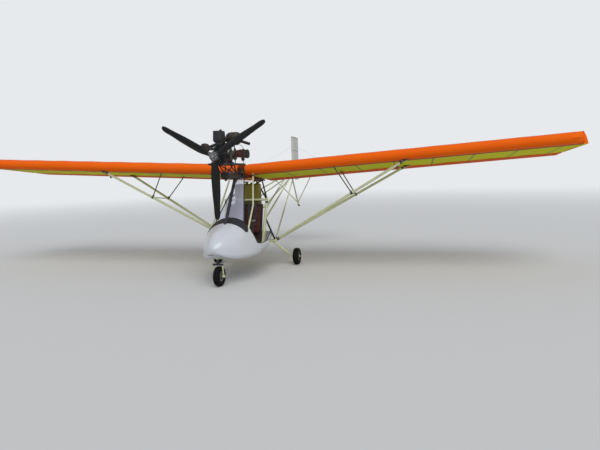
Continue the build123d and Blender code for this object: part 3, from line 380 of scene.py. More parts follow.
def both_sides(*parts):
    """The parts and their mirror images."""
    return [*parts, *[mirrored(*part) for part in parts]]


def unit(vector):
    """The same direction with a length of one."""
    return np.asarray(vector, dtype=float) / np.linalg.norm(vector)


def unit_rows(rows):
    """Every row as a direction with a length of one."""
    return rows / np.linalg.norm(rows, axis=1, keepdims=True)


def square_to(axis):
    """Two directions at right angles to an axis and to each other."""
    side = np.array(Vector(axis).orthogonal().normalized())
    return side, np.cross(axis, side)


def frames_along(path):
    """Two normals at each point of a path, from one steady reference direction."""
    along = unit_rows(np.gradient(path, axis=0))
    reference = np.eye(3)[np.argmin(np.abs(path[-1] - path[0]))]
    across = unit_rows(np.cross(along, reference))
    return across, np.cross(along, across)


def rings_on(path, across, other, radius, sides):
    """A ring at each point of the path: the first normal times cosine plus the second times sine."""
    turn = np.linspace(0, 2 * np.pi, sides, endpoint=False)[None, :, None]
    return path[:, None] + radius * (across[:, None] * np.cos(turn) + other[:, None] * np.sin(turn))


def round_bar(path, radius, sides=12):
    """A tube along a path: each point carries a ring of the radius there."""
    path = np.asarray(path, dtype=float)
    radius = np.broadcast_to(radius, len(path)).reshape(-1, 1, 1)
    points = rings_on(path, *frames_along(path), radius, sides)
    return points.reshape(-1, 3), tube_faces(len(path), sides)


def curve_through(points, count=24):
    """A smooth path through a few points, by Catmull-Rom blending."""
    p = np.asarray(points, dtype=float)
    p = np.vstack([2 * p[0] - p[1], p, 2 * p[-1] - p[-2]])
    t = np.linspace(0, len(p) - 3 - 1e-9, count)
    k = t.astype(int)
    u = (t - k)[:, None]
    a, b, c, d = p[k], p[k + 1], p[k + 2], p[k + 3]
    return 0.5 * (2 * b + (c - a) * u + (2 * a - 5 * b + 4 * c - d) * u ** 2
                  + (3 * b - a - 3 * c + d) * u ** 3)


def turned(profile, origin, axis, sides=24):
    """A lathe form: (distance along the axis, radius) pairs turned round the axis."""
    axis = Vector(axis).normalized()
    side = axis.orthogonal().normalized()
    other = axis.cross(side)
    along, radius = np.asarray(profile, dtype=float).T
    turn = np.linspace(0, 2 * np.pi, sides, endpoint=False)
    ring = np.outer(np.cos(turn), side) + np.outer(np.sin(turn), other)
    points = np.asarray(origin) + along[:, None, None] * np.asarray(axis) + radius[:, None, None] * ring
    faces = tube_faces(len(along), sides)
    return points.reshape(-1, 3), faces


def bolt(origin, axis, across_flats, height, washer=True):
    """A hexagon head on a washer, standing on a surface."""
    head = [(0.0, across_flats * 0.57), (height * 0.8, across_flats * 0.57), (height, across_flats * 0.47)]
    parts = [turned(head, np.asarray(origin), axis, 6)]
    if washer:
        rim = across_flats * 0.86
        parts.append(turned([(-0.001, rim), (height * 0.22, rim)], origin, axis, 16))
    return solid_of(*parts)


def station(x, y, z):
    """A point given by the aircraft's own stations: y is counted from the propeller's plane."""
    return np.array([x, y + PROP_PLANE_Y, z])


SIDES = (("left", 1), ("right", -1))
print("helpers ready")

# %% [markdown]
# ## The wing's section
#
# The wing is cloth over two tubes and a row of battens. Its section has a flat underside, a
# round nose and a top made of two arcs that meet at the crown. The functions below give that
# outline for any chord share, and carry it along the slanted span. Everything sewn on the
# wing is placed with them.

# %% Wing geometry
CHORD = 1.490
LEADING_EDGE = (1.025, 1.610)
INCIDENCE = math.radians(5.6)
DIHEDRAL = math.radians(3.2)
WING_THICK = 0.200
CROWN_SHARE = 0.30
NOSE_RADIUS = 0.076
TRAILING_THICK = 0.010
NOSE_WRAP = math.radians(105)
ROOT_X = 0.064
TIP_X = 5.080
TIP_CORNER = 0.190
SEAM_SHARE = 0.17
AILERON_CHORD = 0.345
AILERON_FROM_X = 1.500
RIB_PITCH = 0.597


def circle_through(start, end, tangent):
    """Centre and radius of the arc that leaves start along tangent and passes through end."""
    normal = np.array([-tangent[1], tangent[0]])
    gap = end - start
    radius = gap @ gap / (2 * gap @ normal)
    return start + normal * radius, abs(radius)


nose_end = NOSE_RADIUS * np.array([1 + math.cos(NOSE_WRAP), 1 + math.sin(NOSE_WRAP)])
crown = np.array([CROWN_SHARE * CHORD, WING_THICK])
front_centre, front_radius = circle_through(
    nose_end, crown, np.array([math.sin(NOSE_WRAP), -math.cos(NOSE_WRAP)]))
crown_tangent = np.array([front_centre[1] - crown[1], crown[0] - front_centre[0]])
crown_tangent *= np.sign(crown_tangent[0]) / np.linalg.norm(crown_tangent)
rear_centre, rear_radius = circle_through(crown, np.array([CHORD, TRAILING_THICK]), crown_tangent)


def upper(back):
    """Height of the top: the nose circle, then the front arc, then the rear arc."""
    back = np.asarray(back, dtype=float)
    nose = NOSE_RADIUS + np.sqrt(np.maximum(NOSE_RADIUS ** 2 - (back - NOSE_RADIUS) ** 2, 0))
    front = front_centre[1] + np.sqrt(np.maximum(front_radius ** 2 - (back - front_centre[0]) ** 2, 0))
    rear = rear_centre[1] + np.sqrt(np.maximum(rear_radius ** 2 - (back - rear_centre[0]) ** 2, 0))
    return np.where(back < nose_end[0], nose, np.where(back < crown[0], front, rear))


def lower(back):
    """Height of the underside: the nose circle's lower quarter, then flat."""
    back = np.asarray(back, dtype=float)
    round_part = NOSE_RADIUS - np.sqrt(np.maximum(NOSE_RADIUS ** 2 - (back - NOSE_RADIUS) ** 2, 0))
    return np.where(back < NOSE_RADIUS, round_part, 0.0)


def wing_points(x, back, up):
    """Section coordinates at the distance x from the centre, in the aircraft's frame."""
    x, back, up = np.broadcast_arrays(x, back, up)
    rise = (x - ROOT_X) * math.tan(DIHEDRAL)
    y = LEADING_EDGE[0] + back * math.cos(INCIDENCE) + up * math.sin(INCIDENCE)
    z = LEADING_EDGE[1] + rise - back * math.sin(INCIDENCE) + up * math.cos(INCIDENCE)
    return np.stack([x, y + PROP_PLANE_Y, z], axis=-1)


def tip_cut(x):
    """How far back the rounded tip corner has moved the leading edge at a span station."""
    into = np.maximum(np.asarray(x, dtype=float) - (TIP_X - TIP_CORNER), 0.0)
    return TIP_CORNER - np.sqrt(np.maximum(TIP_CORNER ** 2 - into ** 2, 0.0))


print("top at the crown", round(float(upper(0.447)), 4), "at the hinge", round(float(upper(1.145)), 4))

# %% [markdown]
# ## Wing cloth
#
# The real covering is coated polyester cloth, sewn to size and laced tight. It touches the
# battens and hangs a few millimetres slack between them, so the wing has shallow valleys and
# soft ridges. It could be simulated, but a sheet this tight only needs the ridges in the right
# places: each skin is a grid of chord and span, drawn in between battens by a squared cosine.
# A seam with two rows of stitches joins the orange nose to the yellow sail, and every batten
# is a dark stripe in the cloth's colour: painted shade of the batten seen against daylight through the thin
# cloth.

# %% Cloth materials
BATTEN_WIDTH = 0.016


def cloth_material(name, fresh, faded, stripe, weave_mm=3.0, stripes=True):
    """Coated polyester: a fine plain weave, faint length-wise wrinkles and dark batten stripes, painted
    shade of battens seen through the cloth.

    The piece's UV map holds metres: u across the chord and v along the span, with battens at
    whole multiples of the batten pitch.
    """
    material, tree, shader = new_material(name, fresh, 0.6, Specular_IOR_Level=0.03)
    uv = add_node(tree, "UVMap", uv_map="cloth").outputs["UV"]
    place = add_node(tree, "TexCoord").outputs["Object"]
    colour = clouded(tree, place, 2.3, 4.0, fresh, faded, 0.55)
    axes = add_node(tree, "SeparateXYZ", {"Vector": uv})
    if stripes:
        nearest = add_node(tree, "Math", {
            0: axes.outputs["Y"], 1: RIB_PITCH}, operation="PINGPONG")
        edge = add_node(tree, "MapRange", {
            "Value": nearest.outputs[0], "From Min": BATTEN_WIDTH * 0.5, "From Max": BATTEN_WIDTH * 1.1,
            "To Min": 0.8, "To Max": 0.0})
        striped = add_node(tree, "Mix", {
            "Factor": edge.outputs["Result"], "A": colour, "B": linear(stripe)}, data_type="RGBA")
        colour = striped.outputs["Result"]
    tree.links.new(colour, shader.inputs["Base Color"])
    weave = add_node(tree, "TexBrick", {
        "Vector": uv, "Color1": (1, 1, 1, 1), "Color2": (0.7, 0.7, 0.7, 1), "Mortar": (0, 0, 0, 1),
        "Scale": 1.0, "Mortar Size": weave_mm / 6000, "Brick Width": weave_mm / 1000,
        "Row Height": weave_mm / 2000})
    wrinkle = add_node(tree, "TexNoise", {
        "Vector": add_node(tree, "Mapping", {"Vector": uv, "Scale": (2.5, 14.0, 1.0)}).outputs[0],
        "Scale": 1.0, "Detail": 3.0})
    coarse = add_node(tree, "Bump", {
        "Height": wrinkle.outputs["Fac"], "Strength": 0.35, "Distance": 0.006})
    fine = add_node(tree, "Bump", {
        "Height": weave.outputs["Color"], "Normal": coarse.outputs["Normal"],
        "Strength": 0.25, "Distance": 0.0003})
    tree.links.new(fine.outputs["Normal"], shader.inputs["Normal"])
    return material


# The third colour is the batten stripe, painted shade of a batten seen through the cloth; the orange nose
# has none.
orange_cloth = cloth_material("orange_polyester_cloth", "F56C14", "EC5F12", "C2500F", stripes=False)
yellow_cloth = cloth_material("yellow_polyester_cloth", "D6D606", "C6C808", "757C0C")
flame_cloth = cloth_material("flame_polyester_cloth", "E05A12", "D05110", "9C4010")
print("battens every", RIB_PITCH, "m")

# %% Wing skins
HANG_MOST = 0.0085
HANG_BELOW = 0.8
TIP_PINCH = 0.060


def battens_from(x):
    """Span distance measured so that battens fall on whole multiples of the pitch."""
    return x - ROOT_X


def slack(x, depth):
    """How far the cloth hangs in: zero on a batten and depth half way to the next."""
    return depth * np.sin(np.pi * battens_from(x) / RIB_PITCH) ** 2


def hang_depth(back):
    """How slack the cloth is along the chord: most at the middle, none at nose and tail."""
    share = np.clip((np.asarray(back, dtype=float) - NOSE_RADIUS) / (CHORD - NOSE_RADIUS), 0, 1)
    return HANG_MOST * np.sin(np.pi * share) ** 1.2


def span_stations(start, end):
    """Span grid with twelve steps between battens, closer at the rounded tip."""
    steps = max(2, int(round((end - start) / RIB_PITCH * 12)))
    x = np.linspace(start, end, steps + 1)
    if end > TIP_X - TIP_CORNER:
        keep = x[x < TIP_X - TIP_CORNER - 0.02]
        arc = TIP_X - TIP_CORNER * (1 - np.sin(np.linspace(0, np.pi / 2, 14)))
        x = np.concatenate([keep, np.minimum(arc, end)])
    return x


def outline(back_from, back_to, count):
    """Chord stations of a loop: back along the top, then forward along the underside.

    Points crowd towards the nose, where the section turns fastest.
    """
    share = np.linspace(0, 1, count) ** (1.8 if back_from == 0 else 1.0)
    return back_from + (back_to - back_from) * share


def skin(name, side, node, material, back_from, back_to, x_from, x_to, count=26):
    """One sewn tube of cloth between two chord stations, from span station to span station."""
    x = span_stations(x_from, x_to)
    back = outline(back_from, back_to, count)
    cut = tip_cut(x)[:, None]
    span = x[:, None]
    reach = (back_to - np.maximum(cut, back_from)) / (back_to - back_from)
    moved = back_to - (back_to - back)[None, :] * reach
    top = upper(moved)
    floor = lower(moved)
    squeeze = np.clip(1 - ((moved - cut) / TIP_PINCH), 0, 1) ** 2 * (cut > 0.0005)
    middle = (top + floor) / 2
    top = top + (middle - top) * squeeze
    floor = floor + (middle - floor) * squeeze
    hang = slack(span, 1.0) * hang_depth(moved) * np.clip((top - floor) / 0.05, 0, 1)
    top = top - hang
    floor = floor + hang * HANG_BELOW
    if back_from > 0:
        ring_back = np.concatenate([moved, moved[:, ::-1]], axis=1)
        ring_up = np.concatenate([top, floor[:, ::-1]], axis=1)
    else:
        ring_back = np.concatenate([moved[:, ::-1], moved[:, 1:]], axis=1)
        ring_up = np.concatenate([top[:, ::-1], floor[:, 1:]], axis=1)
    points = wing_points(np.broadcast_to(span, ring_back.shape), ring_back, ring_up)
    rows, columns = ring_back.shape
    faces = grid_faces(rows, columns)
    step = np.hypot(np.diff(ring_back, axis=1), np.diff(ring_up, axis=1))
    u = np.concatenate([np.zeros((rows, 1)), np.cumsum(step, axis=1)], axis=1)
    uv = np.stack([u, np.broadcast_to(battens_from(span), u.shape)], axis=-1).reshape(-1, 2)
    points = points.reshape(-1, 3)
    if back_from > 0:
        faces = faces[:, ::-1]
    made = piece(name, "airframe", material, *on_side(side, points, faces), uv=uv)
    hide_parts(node)
    girth = float(np.mean(np.sum(step, axis=1)))
    width = (x_to - x_from) / math.cos(DIHEDRAL)
    return made, girth, width


def rib_plate(name, side, x, back_from, back_to, thick, material):
    """A thin plate with the section's outline, closing the wing at its root or tip."""
    start = max(back_from, float(tip_cut(x)) + 0.0005)
    back = start + (back_to - start) * np.linspace(0, 1, 30) ** 1.6
    top, floor = upper(back), lower(back)
    ring_back = np.concatenate([back, back[::-1]])
    ring_up = np.concatenate([top, floor[::-1]])
    rows = np.array([x - thick / 2, x + thick / 2])[:, None]
    points = wing_points(rows, ring_back[None, :], ring_up[None, :]).reshape(-1, 3)
    count = len(ring_back)
    faces = tube_faces(2, count)
    faces = [face[::-1] for face in faces]
    return piece(name, "airframe", material, *on_side(side, points, faces), smooth=False)


SAIL_END = CHORD - AILERON_CHORD - (upper(CHORD - AILERON_CHORD) / 2 - 0.002) - 0.008
for word, side in SIDES:
    seam = SEAM_SHARE * CHORD
    cuts = [
        ("nose_cloth", f"wing_nose_{word}", orange_cloth, 0.0, seam, ROOT_X, TIP_X - 0.0005),
        ("sail_cloth", f"wing_sail_{word}", yellow_cloth, seam, float(SAIL_END), ROOT_X, TIP_X - 0.0005),
        ("rear_panel", f"wing_sail_{word}", flame_cloth, float(SAIL_END), CHORD, ROOT_X, AILERON_FROM_X),
    ]
    for label, node, cloth, back_from, back_to, x_from, x_to in cuts:
        made, girth, length = skin(f"{label}_{word}", side, node, cloth, back_from, back_to, x_from, x_to)
        print(made.name, "girth", round(girth, 3), "span", round(length, 3))

    rib_plate(f"root_rib_{word}", side, ROOT_X + 0.0025, 0.0, CHORD - 0.001, 0.004, flame_cloth)
    rib_plate(f"tip_rib_{word}", side, TIP_X - 0.003, 0.0, float(SAIL_END), 0.004, orange_cloth)

# %% [markdown]
# ## Windscreen
#
# The screen is a single curved sheet of polycarbonate, riveted to two black tubes. Old clear
# sheet is never quite clear: it has a pale violet haze and fine scratches, and it shows the
# sky more than the cabin. A partly transparent pale violet skin with a hard gloss reads that
# way; its pale violet is partly the sheet's haze and partly painted reflection of the sky. It
# lets the light through to the seats without the slow sampling that true refraction needs.

# %% Clear sheet
def clear_sheet_material():
    """Scratched polycarbonate: mostly see-through, with a pale bloom that is partly painted reflection of
    the sky, and a hard reflection.
    """
    # The pale violet base at a third opacity is partly haze of old sheet and partly painted reflection of
    # the sky.
    material, tree, shader = new_material(
        "scratched_polycarbonate", "D9DBEE", 0.06, Alpha=0.34, IOR=1.58, Specular_IOR_Level=0.8)
    place = add_node(tree, "TexCoord").outputs["Object"]
    along = add_node(tree, "Mapping", {"Vector": place, "Scale": (60.0, 4.0, 4.0)})
    scratches = add_node(tree, "TexNoise", {
        "Vector": along.outputs[0], "Scale": 3.0, "Detail": 6.0, "Roughness": 0.8})
    gloss = add_node(tree, "MapRange", {
        "Value": scratches.outputs["Fac"], "From Min": 0.5, "From Max": 0.8,
        "To Min": 0.04, "To Max": 0.28})
    tree.links.new(gloss.outputs["Result"], shader.inputs["Roughness"])
    return material


clear_sheet = clear_sheet_material()
repaint("windscreen", clear_sheet)
print("windscreen alpha", clear_sheet.node_tree.nodes["Principled BSDF"].inputs["Alpha"].default_value)

# %% [markdown]
# ## Seat cushions
#
# Each seat has a squab and a back cushion of foam in dark red cloth. A sewn cover pulls in at
# its corners and swells between its seams, which is easier to inflate than to draw: each
# block is remeshed, given pressure as cloth for a few frames, and kept from swelling too far.
# The channels and the corded edge are made afterwards, because the remesh would erase them.

# %% Cushion cloth
def seat_cloth_material():
    """Dark red wool-blend weave: warp and weft ribs of three millimetres, lint and soft sheen."""
    material, tree, shader = new_material("dark_red_seat_weave", "4C1810", 0.85,
                                          Sheen_Weight=0.10, Sheen_Roughness=0.5)
    place = add_node(tree, "TexCoord").outputs["Object"]
    tint = clouded(tree, place, 9.0, 5.0, "5C1D13", "37100B")
    threads = [add_node(tree, "TexWave", {
        "Vector": place, "Scale": 53.0, "Distortion": 0.6, "Detail": 1.0},
        wave_type="BANDS", bands_direction=axis) for axis in ("X", "Z")]
    weave = add_node(tree, "Math", {
        0: threads[0].outputs["Fac"], 1: threads[1].outputs["Fac"]}, operation="MULTIPLY")
    shade = add_node(tree, "MapRange", {
        "Value": weave.outputs[0], "From Min": 0.0, "From Max": 1.0, "To Min": 0.72, "To Max": 1.15})
    mixed = add_node(tree, "VectorMath", {
        0: tint, "Scale": shade.outputs["Result"]}, operation="SCALE")
    tree.links.new(mixed.outputs[0], shader.inputs["Base Color"])
    relief = add_node(tree, "Bump", {
        "Height": weave.outputs[0], "Strength": 0.5, "Distance": 0.0008})
    tree.links.new(relief.outputs["Normal"], shader.inputs["Normal"])
    return material


seat_cloth = seat_cloth_material()
piping_cloth = new_material("black_piping_cord", "1A1413", 0.7, Sheen_Weight=0.2)[0]
print("seat cloth", seat_cloth.name)

# %% Cushions
CUSHION_W = 0.290
SQUAB = (0.370, 0.080)
BACK = (0.480, 0.070)
SEAT_X = 0.153
SQUAB_AT = station(0.0, 0.712, 0.4945)
BACK_AT = station(0.0, 1.0752, 0.8508)
BACK_TILT = math.radians(14.9)
SHRINK = 0.010
SWELL_CAP = 0.014


def pad_block(width, length, thick):
    """A soft box: a grid on the sphere pushed out towards a box by a high power norm."""
    u = np.linspace(0, 2 * np.pi, 56, endpoint=False)
    v = np.linspace(-np.pi / 2, np.pi / 2, 30)[1:-1]
    x = np.cos(v)[:, None] * np.cos(u)[None, :]
    y = np.cos(v)[:, None] * np.sin(u)[None, :]
    z = np.broadcast_to(np.sin(v)[:, None], x.shape)
    norm = (np.abs(x) ** 6 + np.abs(y) ** 6 + np.abs(z) ** 6) ** (1 / 6)
    points = np.stack([x / norm * width / 2, y / norm * length / 2, z / norm * thick / 2], axis=-1)
    return points.reshape(-1, 3), tube_faces(len(v), len(u))


def inflate(made, cap, pressure=4.0, frames=20):
    """Blows the cover up as cloth, then limits how far each point may have moved."""
    remesh = made.modifiers.new("even_faces", "REMESH")
    remesh.mode = "VOXEL"
    remesh.voxel_size = 0.007
    graph = bpy.context.evaluated_depsgraph_get()
    even = bpy.data.meshes.new_from_object(made.evaluated_get(graph))
    made.modifiers.clear()
    old = made.data
    made.data = even
    bpy.data.meshes.remove(old)
    rest = np.empty(len(even.vertices) * 3)
    even.vertices.foreach_get("co", rest)
    cloth = made.modifiers.new("cover", "CLOTH")
    cloth.settings.use_pressure = True
    cloth.settings.uniform_pressure_force = pressure
    cloth.settings.effector_weights.gravity = 0.0
    cloth.settings.quality = 5
    scene = bpy.context.scene
    for number in range(1, frames + 1):
        scene.frame_set(number)
    swollen = bpy.data.meshes.new_from_object(made.evaluated_get(bpy.context.evaluated_depsgraph_get()))
    made.modifiers.clear()
    scene.frame_set(1)
    blown = np.empty_like(rest)
    swollen.vertices.foreach_get("co", blown)
    bpy.data.meshes.remove(swollen)
    move = (blown - rest).reshape(-1, 3)
    far = np.linalg.norm(move, axis=1, keepdims=True)
    rest = (rest.reshape(-1, 3) + move * np.minimum(1, cap / np.maximum(far, 1e-9))).ravel()
    even.vertices.foreach_set("co", rest)
    return rest.reshape(-1, 3)


def cushion(name, centre, tilt, length, thick, channels):
    """One padded block with sewn channels across it and a corded edge round it."""
    points, faces = pad_block(CUSHION_W - SHRINK, length - SHRINK, thick - SHRINK)
    made = piece(name, "airframe", seat_cloth, points, faces)
    local = inflate(made, SWELL_CAP)
    half = np.array([CUSHION_W, length, thick]) / 2
    local = local * np.minimum(1.0, half / np.abs(local).max(axis=0))
    for y in channels:
        groove = np.exp(-((local[:, 1] - y) / 0.007) ** 2) * (np.abs(local[:, 0]) < half[0] - 0.01)
        local[:, 2] -= np.sign(local[:, 2]) * 0.011 * groove * (np.abs(local[:, 2]) > 0.4 * half[2])
    turn = np.linspace(0, 2 * np.pi, 72, endpoint=False)
    middle = np.abs(local[:, 2]) < 0.007
    edge_points = local[middle]
    bearing = np.arctan2(edge_points[:, 1], edge_points[:, 0])
    edge = []
    for angle in turn:
        near = np.abs(np.angle(np.exp(1j * (bearing - angle)))) < 0.07
        chosen = edge_points[near]
        edge.append(chosen[np.argmax(np.linalg.norm(chosen[:, :2], axis=1))])
    edge = np.array(edge)
    edge[:, 2] = 0.0
    cord, cord_faces = round_ring(edge, 0.0045, 8)
    cos, sin = math.cos(tilt), math.sin(tilt)
    lean = np.array([[1, 0, 0], [0, cos, -sin], [0, sin, cos]])
    made.data.vertices.foreach_set("co", (local @ lean.T + centre).ravel())
    made.data.polygons.foreach_set("use_smooth", [True] * len(made.data.polygons))
    made.data.materials.clear()
    made.data.materials.append(seat_cloth)
    made.data.update()
    soft = made.modifiers.new("smooth", "SUBSURF")
    soft.levels = soft.render_levels = 1
    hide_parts("seat_cushions")
    piece(f"{name}_piping", "airframe", piping_cloth, cord @ lean.T + centre, cord_faces)
    return made


def round_ring(path, radius, sides=8):
    """A closed cord round a ring of points."""
    along = unit_rows(np.roll(path, -1, axis=0) - np.roll(path, 1, axis=0))
    out = path - path.mean(axis=0)
    out = unit_rows(out - along * np.sum(out * along, axis=1, keepdims=True))
    points = rings_on(path, out, np.cross(along, out), radius, sides)
    faces = grid_faces(len(path), sides, wrap_rows=True, wrap_columns=True)
    return points.reshape(-1, 3), faces.tolist()


for word, sign in SIDES:
    offset = np.array([sign * SEAT_X, 0, 0])
    cushion(f"squab_{word}", SQUAB_AT + offset, 0.0, SQUAB[0], SQUAB[1], (-0.06, 0.06))
    cushion(f"back_cushion_{word}", BACK_AT + offset, math.radians(90) - BACK_TILT, BACK[0], BACK[1],
            (-0.13, 0.0, 0.13))
print("cushions made, simulated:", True)

# %% [markdown]
# ## Fuel tank
#
# The tank is blow-moulded polyethylene, clear enough to show the fuel: honey-beige up to its
# level and a milky yellow-green above, painted light for the daylight that comes through the
# yellow sail. Both colours are darkened as painted shade of the wing over the tank. A step in
# the colour at one height does that, and two webbing straps hold the tank down.

# %% Tank finish
TANK_BOX = [np.array(corner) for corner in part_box("fuel_tank")]
FILLER_HEIGHT = 0.045
TANK_TOP = TANK_BOX[1][2] - FILLER_HEIGHT
FUEL_SHARE = 0.36


def tank_material(low, high):
    """Milky plastic with the fuel's level showing through, both colours darkened as painted shade of the
    wing, and a faint orange-peel relief.
    """
    material, tree, shader = new_material("milky_polyethylene", "857A26", 0.42, Subsurface_Weight=0.15,
                                          Subsurface_Scale=0.02, Specular_IOR_Level=0.3)
    place = add_node(tree, "TexCoord").outputs["Object"]
    height = add_node(tree, "SeparateXYZ", {"Vector": place}).outputs["Z"]
    level = low + (high - low) * FUEL_SHARE
    above = add_node(tree, "MapRange", {
        "Value": height, "From Min": level - 0.004, "From Max": level + 0.004})
    # Both pairs are darkened as painted shade of the wing; the upper pair's yellow-green is painted light
    # through the sail.
    wet = clouded(tree, place, 4.0, 2.0, "6E6238", "7A6C40")
    dry = clouded(tree, place, 4.0, 2.0, "857A26", "776F22")
    both = add_node(tree, "Mix", {
        "Factor": above.outputs["Result"], "A": wet, "B": dry}, data_type="RGBA")
    tree.links.new(both.outputs["Result"], shader.inputs["Base Color"])
    peel = add_node(tree, "TexNoise", {"Vector": place, "Scale": 160.0, "Detail": 2.0})
    relief = add_node(tree, "Bump", {
        "Height": peel.outputs["Fac"], "Strength": 0.3, "Distance": 0.0006})
    tree.links.new(relief.outputs["Normal"], shader.inputs["Normal"])
    return material


repaint("fuel_tank", tank_material(TANK_BOX[0][2], TANK_TOP))


def webbing_material(name, colour, edge):
    """Nylon webbing: diagonal ribs of two millimetres in its colour and a paler one."""
    material, tree, shader = new_material(name, colour, 0.6, Sheen_Weight=0.2)
    place = add_node(tree, "TexCoord").outputs["Object"]
    ribs = add_node(tree, "TexWave", {
        "Vector": place, "Scale": 80.0, "Distortion": 0.3}, wave_type="BANDS", bands_direction="DIAGONAL")
    tint = add_node(tree, "Mix", {
        "Factor": ribs.outputs["Fac"], "A": linear(colour), "B": linear(edge)}, data_type="RGBA")
    tree.links.new(tint.outputs["Result"], shader.inputs["Base Color"])
    relief = add_node(tree, "Bump", {
        "Height": ribs.outputs["Fac"], "Strength": 0.5, "Distance": 0.0006})
    tree.links.new(relief.outputs["Normal"], shader.inputs["Normal"])
    return material


def strap(path, width, thick, across):
    """A flat strap along a path; across is the direction of its width, the same all along."""
    path = np.asarray(path, dtype=float)
    across = unit(across)
    face = unit_rows(np.cross(unit_rows(np.gradient(path, axis=0)), across))
    corners = [(-0.5, -0.5), (0.5, -0.5), (0.5, 0.5), (-0.5, 0.5)]
    rows = [path + across * width * a + face * thick * b for a, b in corners]
    points = np.stack(rows, axis=1).reshape(-1, 3)
    faces = tube_faces(len(path), 4)
    return points, faces


def tank_strap(x):
    """A strap over the tank's front, top and back, two millimetres off its surface."""
    low, high = TANK_BOX
    corner, gap = 0.022, 0.002
    y0, y1 = low[1] - gap, high[1] + gap
    turn = np.linspace(0, np.pi / 2, 7)
    inward = corner * (1 - np.sin(turn))
    height = TANK_TOP + gap - corner * (1 - np.cos(turn))
    front = np.stack([y0 + inward, height], axis=-1)[::-1]
    back = np.stack([y1 - inward, height], axis=-1)
    line = np.vstack([[[y0, low[2] - 0.004]], front, back, [[y1, low[2] - 0.004]]])
    path = np.column_stack([np.full(len(line), x), line])
    return strap(path, 0.032, 0.0018, (1, 0, 0))


TANK_STRAP_X = (-0.13, 0.13)
pale_webbing = webbing_material("olive_nylon_webbing", "68623A", "787144")
hard_piece("tank_straps", pale_webbing, [tank_strap(x) for x in TANK_STRAP_X])
print("tank box", [np.round(c, 3).tolist() for c in TANK_BOX])

# %% [markdown]
# ## Instruments
#
# The panel carries round instruments. Each face is a black disc with white marks and one
# pointer, behind a thin glass. The marks are plain bars, long and short in turn, so they say
# nothing but that this is a dial; there is no lettering.

# %% Dial faces
PANEL_FACE_Y = 0.4145
DIALS = [(-0.150, 0.800, 0.040), (-0.045, 0.800, 0.040), (0.060, 0.800, 0.040), (0.160, 0.800, 0.034),
         (-0.095, 0.722, 0.026), (0.000, 0.722, 0.026), (0.095, 0.722, 0.026)]
POINTER_TURN = (0.4, 2.1, -0.9, 1.3, 2.6, 0.2, -1.7)
dial_white = new_material("dial_white_paint", "E6E6DC", 0.5)[0]
dial_black = new_material("dial_black_paint", "0E0F10", 0.45)[0]
pointer_orange = new_material("pointer_orange_paint", "E2622A", 0.45)[0]
dial_glass = new_material("dial_glass", "FFFFFF", 0.03, Alpha=0.12, Specular_IOR_Level=0.6)[0]


def flat_bar(centre, along, across, length, width, normal, lift):
    """A thin raised bar on a face."""
    centre, along, across, normal = (np.asarray(v, dtype=float) for v in (centre, along, across, normal))
    signs = np.array([(-1, -1), (1, -1), (1, 1), (-1, 1)])
    base = centre + signs[:, :1] * along * length / 2 + signs[:, 1:] * across * width / 2
    points = np.vstack([base, base + normal * lift])
    faces = tube_faces(2, 4)
    return points, faces


def clock_hand(angle):
    """The direction of a hand turned clockwise from the top, and the one across it."""
    return (np.array([math.sin(angle), 0.0, math.cos(angle)]),
            np.array([math.cos(angle), 0.0, -math.sin(angle)]))


def dial_parts():
    """For every dial: its black face, long and short marks in turn, a pointer and a glass."""
    faces, marks, pointers, glass = [], [], [], []
    out = np.array([0.0, 1.0, 0.0])
    for (x, z, radius), turn in zip(DIALS, POINTER_TURN):
        centre = station(x, PANEL_FACE_Y, z)
        faces.append(turned([(0.0, radius - 0.001), (0.0008, radius - 0.001)], centre, out, 32))
        for k, angle in enumerate(np.radians(np.arange(-135, 136, 22.5))):
            spoke, side = clock_hand(angle)
            size = radius * (0.22 if k % 2 == 0 else 0.13)
            middle = centre + spoke * (radius * 0.88 - size / 2) + out * 0.0008
            marks.append(flat_bar(middle, spoke, side, size, radius * 0.05, out, 0.0005))
        spoke, side = clock_hand(turn)
        middle = centre + spoke * radius * 0.25 + out * 0.0016
        pointers.append(flat_bar(middle, spoke, side, radius * 0.95, radius * 0.07, out, 0.0006))
        pointers.append(turned([(0.0008, radius * 0.12), (0.003, radius * 0.10)], centre, out, 16))
        glass.append(turned([(0.0046, radius - 0.0005), (0.0054, radius - 0.0005)], centre, out, 32))
    return faces, marks, pointers, glass


for name, material, parts in zip(("dial_faces", "dial_marks", "dial_pointers", "dial_glasses"),
                                 (dial_black, dial_white, pointer_orange, dial_glass), dial_parts()):
    hard_piece(name, material, parts)
print("dials", len(DIALS))

# %% [markdown]
# ## Aileron hinges
#
# The rear of each sail carries five hinge lugs that the ailerons' pins turn in. The frame's
# sail block held them, and the cloth that replaced it can't, so they are made again here from
# the same hinge line: a plate with a round end, standing back from the sail.

# %% Hinge lugs
HINGE_BACK = CHORD - AILERON_CHORD
HINGE_UP = float(upper(HINGE_BACK)) / 2
HINGE_REACH = HINGE_UP - 0.002 + 0.008
LUG_R = 0.010
LUG_W = 0.016
HINGE_SPAN = (AILERON_FROM_X + 0.008, TIP_X - 0.010)
HINGE_COUNT = 5
hinge_step = (HINGE_SPAN[1] - HINGE_SPAN[0]) / HINGE_COUNT
HINGE_X = HINGE_SPAN[0] + hinge_step * (np.arange(HINGE_COUNT) + 0.5)


def hinge_lug(x):
    """A plate with a half-round end on the hinge line, extruded along the span."""
    turn = np.linspace(-np.pi / 2, np.pi / 2, 11)
    back = np.concatenate([HINGE_BACK + LUG_R * np.cos(turn), [HINGE_BACK - HINGE_REACH] * 2])
    up = np.concatenate([HINGE_UP + LUG_R * np.sin(turn), [HINGE_UP + LUG_R, HINGE_UP - LUG_R]])
    rows = np.array([x - LUG_W / 2, x + LUG_W / 2])[:, None]
    points = wing_points(rows, back[None, :], up[None, :]).reshape(-1, 3)
    count = len(back)
    faces = tube_faces(2, count)
    return points, faces


